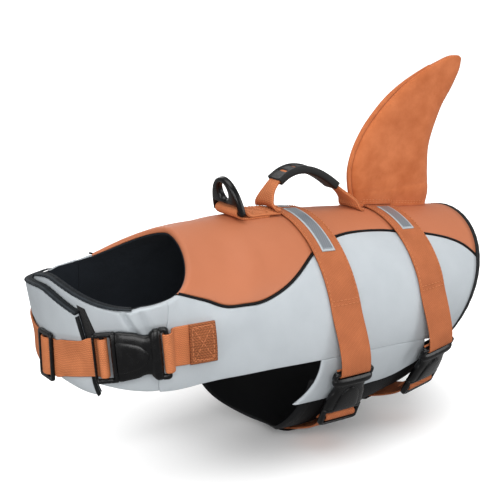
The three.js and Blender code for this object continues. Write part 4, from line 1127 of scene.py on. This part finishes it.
def male_parts():
    half = BUCKLE_WIDTH / 2
    inner_slot, outer_slot = MALE_BAR - BAR_RADIUS - 5, MALE_BAR + BAR_RADIUS
    holes = [(inner_slot, inner_slot + 5, SLOT_HALF), (outer_slot, outer_slot + 4.4, SLOT_HALF)]
    plate = slab_parts(frame_outline(half - 0.5, BUCKLE_SPLIT + 0.6, BUCKLE_HALF, 3.5, holes), 5.4, 1.7)
    shoulder = loft_parts([(BUCKLE_SPLIT, 0, half - 1.3, 4.2), (BUCKLE_SPLIT + 1.0, 0, half - 0.6, 4.7),
                           (inner_slot - 1.0, 0, half - 0.6, 4.0), (inner_slot + 0.1, 0, half - 1.6, 2.6)],
                          3.6, 36, 24)
    rib = loft_parts([(inner_slot, 0, 1.9, 2.7), (BUCKLE_HALF - 3, 0, 1.9, 2.7)], 2.4, 14, 8)
    return joined([plate, shoulder] + [moved(rib, [side * (half - 2.9), 0, 0.5]) for side in (-1, 1)])


def add_buckle(name, matrix, nodes):
    add_piece(f"{name}_receiver", female_parts(), LOOKS["plastic"], nodes[0], place=matrix)
    add_piece(f"{name}_tongue", male_parts(), LOOKS["plastic"], nodes[1], place=matrix)


# Chest strap: bearings about the chest's upright axis, heights of the strap's middle

CHEST_AXIS_X = -150
CHEST_HEIGHT = smooth([(-275, -70), (-230, -73), (-182, -84), (-150, -76), (-120, -70), (-85, -70)])
CHEST_SHARES = np.array([1, 0.5, 0, -0.5, -1])
CHEST_FEMALE_END = Vector((-195.5, -98.5, -69))
CHEST_MALE_END = Vector((-249, -62.5, -74))
CHEST_MIDDLE = 0.7 + WEBBING / 2


def at_bearing(bearing, height, start):
    """Stations and angles of the outside at a bearing and heights, by Newton's steps."""
    turn = math.radians(bearing)

    def miss(u, angle):
        p = outside(u, angle)
        return p[..., 2] - height, (p[..., 0] - CHEST_AXIS_X) * math.sin(turn) - p[..., 1] * math.cos(turn)

    u, angle = start
    for _ in range(20):
        f, g = miss(u, angle)
        fu, gu = ((b - a) / 0.001 for a, b in zip((f, g), miss(u + 0.001, angle)))
        fa, ga = ((b - a) / 0.01 for a, b in zip((f, g), miss(u, angle + 0.01)))
        scale = fu * ga - fa * gu
        u = np.clip(u - np.clip((f * ga - fa * g) / scale, -0.2, 0.2), 0, REAR)
        angle = angle - np.clip((fu * g - f * gu) / scale, -5, 5)
    return u, angle


def chest_rows(bearings, extra, shares=CHEST_SHARES):
    shares = np.asarray(shares, float)
    found = (np.full(len(shares), 1.2), np.full(len(shares), -100.0))
    rows, normals = [], []
    for bearing in bearings:
        found = at_bearing(bearing, CHEST_HEIGHT(bearing) + shares * CHEST_WIDTH / 2, found)
        collar = np.maximum(collar_lift(HALVES[1], found[0], 360 + found[1]), 0)
        rows.append(point(*found, np.where(found[1] < -150, collar, 0) + extra))
        normals.append(outward(*found))
    return np.array(rows), np.array(normals)


def to_bearing(last, step=4):
    return np.arange(-88, last - 0.1, -step)


def add_chest():
    along = CHEST_MALE_END - CHEST_FEMALE_END
    out = Vector((along.y, -along.x, 0))
    out = out if out.y < 0 else -out
    matrix = basis((CHEST_MALE_END + CHEST_FEMALE_END) / 2, along, out)
    add_buckle("chest", matrix, ["chest_buckle_female", "chest_buckle_male"])
    half = CHEST_WIDTH / 2
    tab = chest_rows(to_bearing(-112), CHEST_MIDDLE)[0]
    rows = np.concatenate([female_loop(matrix, half, CHEST_SHARES, tab[-1]), tab[::-1]])
    band("chest_tab_webbing", rows, WEBBING, LOOKS["webbing"], "chest_tab")
    patch = chest_rows(to_bearing(-104), CHEST_MIDDLE + WEBBING + 0.3)[0]
    band("chest_patch_webbing", patch, WEBBING + 0.4, LOOKS["patch_webbing"], "chest_patch")
    add_patch_stitches(CHEST_MIDDLE + 1.5 * WEBBING + 0.5)
    add_chest_front(matrix)


def add_patch_stitches(lift):
    """Box and cross of stitches on the doubled webbing at the left side."""
    def line(bearing_a, share_a, bearing_b, share_b):
        points, normals = [], []
        found = (np.array([1.2]), np.array([-100.0]))
        for t in np.linspace(0, 1, 16):
            bearing, share = mix(bearing_a, bearing_b, t), mix(share_a, share_b, t)
            found = at_bearing(bearing, CHEST_HEIGHT(bearing) + np.array([share * CHEST_WIDTH / 2]), found)
            points.append(point(*found, lift)[0])
            normals.append(outward(*found)[0])
        return np.array(points), np.array(normals)

    near, far, edge = -90, -102.5, 0.84
    rows = [line(near, edge, far, edge), line(far, edge, far, -edge), line(far, -edge, near, -edge),
            line(near, -edge, near, edge), line(near, edge, far, -edge), line(near, -edge, far, edge)]
    rows += [line(near - 1.2, edge, far + 1.2, edge * 0.9), line(near - 1.2, -edge, far + 1.2, -edge * 0.9)]
    add_stitches("chest_patch_stitches", rows, radius=0.4)


SLIDER_BEARING = -181
SLIDER = {"half_height": 22, "half": 12.4, "bar": 3.5, "centre": 2, "thick": 3.4, "above": 2.9}
SLIDER_HUMP = [
    (14, 0.4), (11.3, 0.4), (8.6, 0.7), (2.8, 5.1), (0, 5.5), (-2.8, 5.1), (-8.6, 0.7), (-11.3, 0.4),
    (-14, 0.4),
]


def add_chest_front(matrix):
    bearings = np.arange(-156, -272.1, -4)
    front = chest_rows(np.concatenate([to_bearing(-152), bearings]), CHEST_MIDDLE)[0][-len(bearings):]
    near, near_normals = chest_rows(np.concatenate([to_bearing(-176), [-179, -183]]), CHEST_MIDDLE)
    a, b = near[-2], near[-1]
    middle_a, middle_b = (a[0] + a[-1]) / 2, (b[0] + b[-1]) / 2
    slider = basis((middle_a + middle_b) / 2, middle_a - middle_b, near_normals[-2, 2] + near_normals[-1, 2])
    inverse = slider.inverted()
    along = np.array([(inverse @ Vector((row[0] + row[-1]) / 2)).y for row in front])
    half = CHEST_WIDTH / 2
    hump = in_frame(slider, half, SLIDER_HUMP, -CHEST_SHARES)
    rows = np.concatenate([
        male_loop(matrix, half, CHEST_SHARES)[::-1], front[(bearings > SLIDER_BEARING) & (along > 17)],
        hump, front[(bearings < SLIDER_BEARING) & (along < -17)],
    ])
    band("chest_webbing", rows, WEBBING, LOOKS["webbing"], "chest_strap", waves=0.08)
    hole = half + 0.8
    end, bar_edge = SLIDER["half"], SLIDER["half"] - SLIDER["bar"]
    holes = [(-bar_edge, -SLIDER["centre"], hole), (SLIDER["centre"], bar_edge, hole)]
    outlines = frame_outline(SLIDER["half_height"], -end, end, 4, holes)
    plate = moved(slab_parts(outlines, SLIDER["thick"], 1.1), [0, 0, SLIDER["above"]])
    add_piece("slider", plate, LOOKS["plastic"], "chest_slider", place=slider)


# Lead ring, its tab and the handle

RING = {"x": -70, "z": 16.6, "bar": 2.5, "half": 23, "tall": 33, "thick": 7, "lean": -14,
        "eye_half": 7.6, "eye_tall": 9, "eye_z": 19}
PATCH_HALF = 17.5
TAB_STITCH_HALF = 14
RIDGE_RADIUS = 95
ACROSS = np.array([-1, -0.5, 0, 0.5, 1])


def across_ridge(x, half, lift):
    angle = np.degrees(ACROSS * half / RIDGE_RADIUS)
    return point(station_where(angle, 0, x, 0), angle, lift)


def straight_across(line):
    table = np.array(line, float)
    return np.stack([np.stack([[x, share * half, z] for share in ACROSS]) for x, z, half in table])


def add_ring_tab():
    radius = RING["bar"] + 0.5 + WEBBING / 2
    turns = np.radians([250, 215, 180, 145, 110, 80, 55])
    loop = [(RING["x"] + radius * math.cos(a), RING["z"] + radius * math.sin(a), PATCH_HALF) for a in turns]
    lift = 0.3 + WEBBING / 2
    rows = np.concatenate([
        [across_ridge(x, PATCH_HALF, lift) for x in (-37, -44, -52, -60)], straight_across(loop),
        [across_ridge(x, PATCH_HALF, lift + WEBBING + 0.3) for x in (-57, -50, -42, -34, -24)],
    ])
    band("ring_tab_webbing", rows, WEBBING + 0.3, LOOKS["webbing"], "ring_tab")
    top = lift + 1.5 * WEBBING + 0.55
    lines = []
    front, back, extra, side = -53, -36, (-31, -27), TAB_STITCH_HALF
    ends = [((front, back), (-side, -side)), ((front, back), (side, side)), ((back, back), (-side, side)),
            ((front, front), (-side, side)), ((front, back), (-side, side)), ((front, back), (side, -side))]
    for xs, ys in ends + [((at, at), (-side, side)) for at in extra]:
        x, y = np.linspace(*xs, 20), np.linspace(*ys, 20)
        angle = np.degrees(y / RIDGE_RADIUS)
        lines.append(on_line(station_where(angle, 0, x, 0), angle, top))
    add_stitches("ring_tab_stitches", lines, radius=0.38)


def ring_outline():
    """Outside of the ring: flat at the bar, rounded at the top like an arch."""
    half, tall, bar = RING["half"], RING["tall"], RING["bar"]
    ends = [np.array(p) for p in ((half, -bar), (half, tall * 0.45), (half * 0.62, tall), (0, tall))]
    t = np.linspace(0, 1, 24)[:, None]
    weights = ((1 - t) ** 3, 3 * t * (1 - t) ** 2, 3 * t * t * (1 - t), t ** 3)
    arch = sum(weight * end for weight, end in zip(weights, ends))
    return np.concatenate([arch, arch[-2::-1] * [-1, 1]])


def add_ring():
    slot_half, bar = PATCH_HALF + 1, RING["bar"]
    slot = rounded_outline([(-slot_half, -bar - 1, 0), (slot_half, -bar - 1, 0),
                            (slot_half - 0.6, bar + 4.4, 1.5), (-slot_half + 0.6, bar + 4.4, 1.5)])
    turn = np.linspace(0, 2 * math.pi, 40, endpoint=False)
    eye = np.stack([RING["eye_half"] * np.cos(turn), RING["eye_z"] + RING["eye_tall"] * np.sin(turn)], -1)
    legs = np.concatenate([ring_outline(), [[-slot_half, -bar], *slot[2:][::-1], [slot_half, -bar]]])
    plate = slab_parts([legs, eye], RING["thick"], 2.2)
    ends = [(side * (slot_half + 1), 0, bar - 0.1, bar - 0.1) for side in (-1, 1)]
    points, faces, uv = loft_parts(ends, 2, 20, 4)
    rod = (points[:, [1, 0, 2]], faces, uv)
    lean = Matrix.Rotation(math.radians(-RING["lean"]), 4, "X")
    matrix = basis((RING["x"], 0, RING["z"]), (0, 0, 1), (-1, 0, 0)) @ lean
    add_piece("lead_ring", joined([plate, rod]), LOOKS["plastic"], "d_ring", body="ring", place=matrix)


HANDLE_LINE = [
    (-29.5, 18, 15), (-28.4, 24, 12), (-24.5, 31, 9), (-18, 38, 7.8), (-8, 43.8, 7.8), (4, 46.6, 7.8),
    (16, 45.4, 7.8), (28, 41, 7.8), (40, 34, 7.8), (51, 25.8, 7.8), (60, 18.8, 9), (66, 13.6, 12),
    (71, 8, 15),
]
HANDLE_THICK = 2.8
GRIP_FIRST, GRIP_LAST = 3, 9
GRIP_HALF = 9.8


def add_handle():
    foot = 0.3 + WEBBING * 2 + 0.6 + HANDLE_THICK / 2
    rows = np.concatenate([
        [across_ridge(-23, 17, foot), across_ridge(-27.2, 17, foot + 0.6)], straight_across(HANDLE_LINE),
        [across_ridge(74, 17, 2.6), across_ridge(77.5, 17, 1.9)],
    ])
    rows = even(rows, 1.2)
    fold = ease((26 - rows[:, :1, 2]) / 16)
    share = np.linspace(-1, 1, rows.shape[1])[None]
    rows[..., 0] += fold * 2.2 * (share ** 2 - 0.5) * np.sign(rows[:, :1, 0] - 20)
    band("handle_web", rows, HANDLE_THICK - 0.2, LOOKS["webbing"], "handle_webbing", spacing=1.2)
    add_grip()
    lines = []
    for x, lift in ((-22.8, foot + 1.5), (-25.4, foot + 1.7)):
        angle = np.degrees(np.linspace(-14, 14, 20) / RIDGE_RADIUS)
        lines.append(on_line(station_where(angle, 0, x, 0), angle, lift))
    add_stitches("handle_stitches", lines, radius=0.4)


def add_grip():
    """Moulded sleeve: flat inside with raised side rims, and cross slots in its top that bare the webbing."""
    line = np.array([(x, 0, z) for x, z, half in HANDLE_LINE[GRIP_FIRST:GRIP_LAST + 1]], float)
    path = even(line, 0.8)
    along = unit(np.gradient(path, axis=0))
    normals = np.stack([-along[:, 2], 0 * along[:, 0], along[:, 0]], -1)
    length = arc(path[:, None], 0)[:, 0]
    half, rim, flat = GRIP_HALF, GRIP_HALF - 2, GRIP_HALF - 2.8
    outline = rounded_outline([(-half, -3.9, 2.2), (half, -3.9, 2.2), (half, 3.9, 1.2), (rim, 3.9, 0.6),
                               (flat, 3.1, 0.6), (-flat, 3.1, 0.6), (-rim, 3.9, 0.6), (-half, 3.9, 1.2)], 5)
    rings = sweep(path, normals, outline)
    slots = np.abs((length - 7) % 11 - 5.5) < 1.5
    inside = (length > 9) & (length < length[-1] - 9)
    on_top = (outline[:, 1] > 2.6) & (np.abs(outline[:, 0]) < flat + 0.4)
    dip = 1.9 * (slots & inside)[:, None] * on_top[None]
    ridges = 0.18 * np.sin(length * 3.2)[:, None] * (outline[:, 1] < -2)[None]
    rings = rings - normals[:, None] * (dip + ridges)[..., None]
    add_piece("grip_sleeve", tube_parts(rings), LOOKS["rubber"], "handle_grip")
    bars = []
    for at in np.arange(12.5, length[-1] - 9, 11):
        near = np.linspace(at - 1.4, at + 1.4, 5)
        centre = np.stack([np.interp(near, length, path[:, k]) for k in range(3)], -1)
        out = np.stack([np.interp(near, length, normals[:, k]) for k in range(3)], -1)
        bars.append(tube_parts(sweep(centre + out * 1.35, out, oval(flat - 1, 0.8, 16))))
    add_piece("grip_slots_webbing", joined(bars), LOOKS["webbing"])


# Fin

FIN_FRONT = np.array([
    (80, 0, 1), (75, 0, 21), (74, 0, 36), (78, 0, 52), (89, 0, 72), (105, 0, 90), (128, 0, 109),
    (157, 0, 126),
    (185, 0, 137), (205, 0, 142), (213, 0, 141.5),
], float)
FIN_REAR = np.array([
    (174, 0, -7), (176, 0, 4), (175, 0, 27), (175.5, 0, 51), (180, 0, 66), (191, 0, 90), (207, 0, 113),
    (216, 0, 130), (217, 0, 138),
], float)
FIN_HALF = 7
FIN_EDGE = 0.9


def ridge_z(x):
    return outside(station_where(np.zeros_like(x), 0, x, 0), 0.0)[..., 2]


def fin_grid(rows=110, columns=70):
    t = np.linspace(0, 1, rows)
    s = places(columns, 0.006, 0.016, 0.03, 0.05)
    front, rear = resample(FIN_FRONT, t), resample(FIN_REAR, t)
    grid = front[:, None] + (rear - front)[:, None] * s[None, :, None]
    foot = ridge_z(grid[0, :, 0]) + np.where(np.abs(grid[0, :, 0] - GIRTH_STRAPS[1]["x"]) < 18, 3.1, 0.4)
    settle = np.exp(-t * 14)[:, None]
    grid[..., 2] += (foot - grid[0, :, 2])[None] * settle
    return grid, s, t


def add_fin():
    grid, s, t = fin_grid()
    width = np.sqrt(1 - np.abs(2 * s - 1) ** 5 * 0.985)
    gathered = (0.62 + 0.38 * ease(t / 0.09))[:, None]
    half = (FIN_EDGE + (FIN_HALF - FIN_EDGE) * width[None] * (1 - 0.78 * t[:, None] ** 2)) * gathered
    x, z = grid[..., 0], grid[..., 2]
    dents = 0.7 * np.exp(-(((x - 108) / 16) ** 2 + ((z - 24) / 9) ** 2))
    dents += 0.6 * np.exp(-(((x - 150) / 20) ** 2 + ((z - 60) / 22) ** 2))
    ripple = 0.22 * np.sin(x * 0.24 + z * 0.05) * np.exp(-((z - 8) / 16) ** 2)
    ripple += 0.2 * np.sin(z * 0.16 + x * 0.06)
    seam = 1.2 * np.exp(-((z - 14) / 2.2) ** 2)
    sides = []
    for side in (-1, 1):
        shape = np.maximum(half - dents * (1 if side < 0 else 0.6) + side * ripple * 0.6 - 0.35 * seam, 0.5)
        sides.append(np.stack([x, side * shape, z], -1))
    obj = add_piece("fin_pad", shell_parts(*sides), LOOKS["suede"], "fin")
    add_fin_edge()
    rows = []
    for side in (-1, 1):
        for height in (0.02, 0.035):
            row = int(height * (len(t) - 1))
            line = sides[0][row, 4:-4] * [1, -side, 1]
            rows.append((line, np.tile([0, side, 0.0], (len(line), 1))))
    add_stitches("fin_stitches", rows, radius=0.34, out=0.1)


def add_fin_edge():
    """Folded strip round the front edge, with a dark seam behind it."""
    t = np.linspace(0.02, 0.82, 120)
    path = resample(FIN_FRONT, t)
    along = unit(np.gradient(path, axis=0))
    ahead = np.stack([-along[:, 2], 0 * t, along[:, 0]], -1)
    profile = rounded_outline([(-2.2, -1.9, 1), (2.2, -1.9, 1), (1.6, 1.9, 1.2), (-1.6, 1.9, 1.2)], 4)
    thin = (1 - 0.6 * ease((t - 0.5) / 0.32))[:, None, None]
    middle = path + ahead * (2.3 - 1.9 * ease((t - 0.5) / 0.32))[:, None]
    rings = sweep(middle, ahead, profile)
    rings = middle[:, None] + (rings - middle[:, None]) * thin
    add_piece("fin_edge_strip", tube_parts(rings), LOOKS["suede"], "fin_piping")


# Floor, lights and camera

def add_stage(lowest):
    """Pale studio floor: it takes the shadow and throws no light up. It glows a little as painted light away
    from the jacket, and the glow fades out near it, leaving a painted darker patch round the jacket.
    """
    size = 30.0
    mesh = bpy.data.meshes.new("floor")
    corners = [(-size, -size, lowest), (size, -size, lowest), (size, size, lowest), (-size, size, lowest)]
    mesh.from_pydata(corners, [], [(0, 1, 2, 3)])
    floor = bpy.data.objects.new("floor", mesh)
    floor.visible_diffuse = floor.visible_glossy = False
    bpy.context.scene.collection.objects.link(floor)
    material, tree, shader, _, where = start_material("floor_white", Roughness=1.0, Specular_IOR_Level=0.0)
    shader.inputs["Base Color"].default_value = (0.93, 0.93, 0.93, 1)
    shader.inputs["Emission Color"].default_value = (1, 1, 1, 1)
    reach = link(tree, "ShaderNodeVectorMath", {0: where}, operation="LENGTH").outputs["Value"]
    # Painted light: the floor glows only beyond 0.23 m from the origin, so round the jacket it stays darker
    # as painted shade.
    glow = times(tree, ramp(tree, reach, 0.23, 0.36), 0.45)
    tree.links.new(glow, shader.inputs["Emission Strength"])
    mesh.materials.append(material)


def add_light(name, kind, at, target, power, **settings):
    light = bpy.data.lights.new(name, kind)
    light.energy = power
    for key, value in settings.items():
        setattr(light, key, value)
    obj = bpy.data.objects.new(name, light)
    obj.location = at
    obj.rotation_euler = (Vector(target) - Vector(at)).to_track_quat("-Z", "Y").to_euler()
    bpy.context.scene.collection.objects.link(obj)


def add_lights():
    scene = bpy.context.scene
    scene.view_settings.view_transform = "Standard"
    world = bpy.data.worlds.new("studio")
    world.use_nodes = True
    world.node_tree.nodes["Background"].inputs[0].default_value = (1, 1, 1, 1)
    world.node_tree.nodes["Background"].inputs[1].default_value = 0.4
    scene.world = world
    add_light("overhead", "SUN", (-0.2, -0.35, 2), (0, 0, 0), 1.7, angle=math.radians(50))
    add_light("key", "AREA", (-1.0, -1.9, 0.75), (0, 0, -0.08), 27, size=1.2)
    add_light("fill", "AREA", (1.5, -1.5, 0.35), (0.05, 0, -0.08), 13, size=1.0)
    add_light("behind", "AREA", (0.4, 2.0, 0.9), (0, 0, -0.05), 12, size=1.2)
    add_light("left", "AREA", (-2.0, -0.5, 0.3), (-0.15, 0, -0.08), 13, size=1.0)


def add_camera():
    camera = bpy.data.cameras.new("camera")
    camera.lens, camera.sensor_width = LENS_MM, 36
    obj = bpy.data.objects.new("camera", camera)
    level = math.cos(ELEVATION)
    back = Vector((math.sin(AZIMUTH) * level, -math.cos(AZIMUTH) * level, math.sin(ELEVATION)))
    obj.location = CAMERA_AT
    obj.rotation_euler = (-back).to_track_quat("-Z", "Y").to_euler()
    bpy.context.scene.collection.objects.link(obj)
    bpy.context.scene.camera = obj


add_camera()
add_back()
add_lining()
add_rear_binding()
add_belly()
for side, side_name in ((-1, "left"), (1, "right")):
    add_side(side, side_name)
    add_piping(side, side_name)
    add_flap(side, side_name)
for collar_half in HALVES:
    add_collar(collar_half)
add_collar_end_trim()
add_fastener()
for girth_strap in GIRTH_STRAPS:
    add_girth(girth_strap)
add_chest()
add_ring_tab()
add_ring()
add_handle()
add_fin()
add_lights()

final_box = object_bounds()
add_stage(final_box[0].z - FLOOR_BELOW * MM)
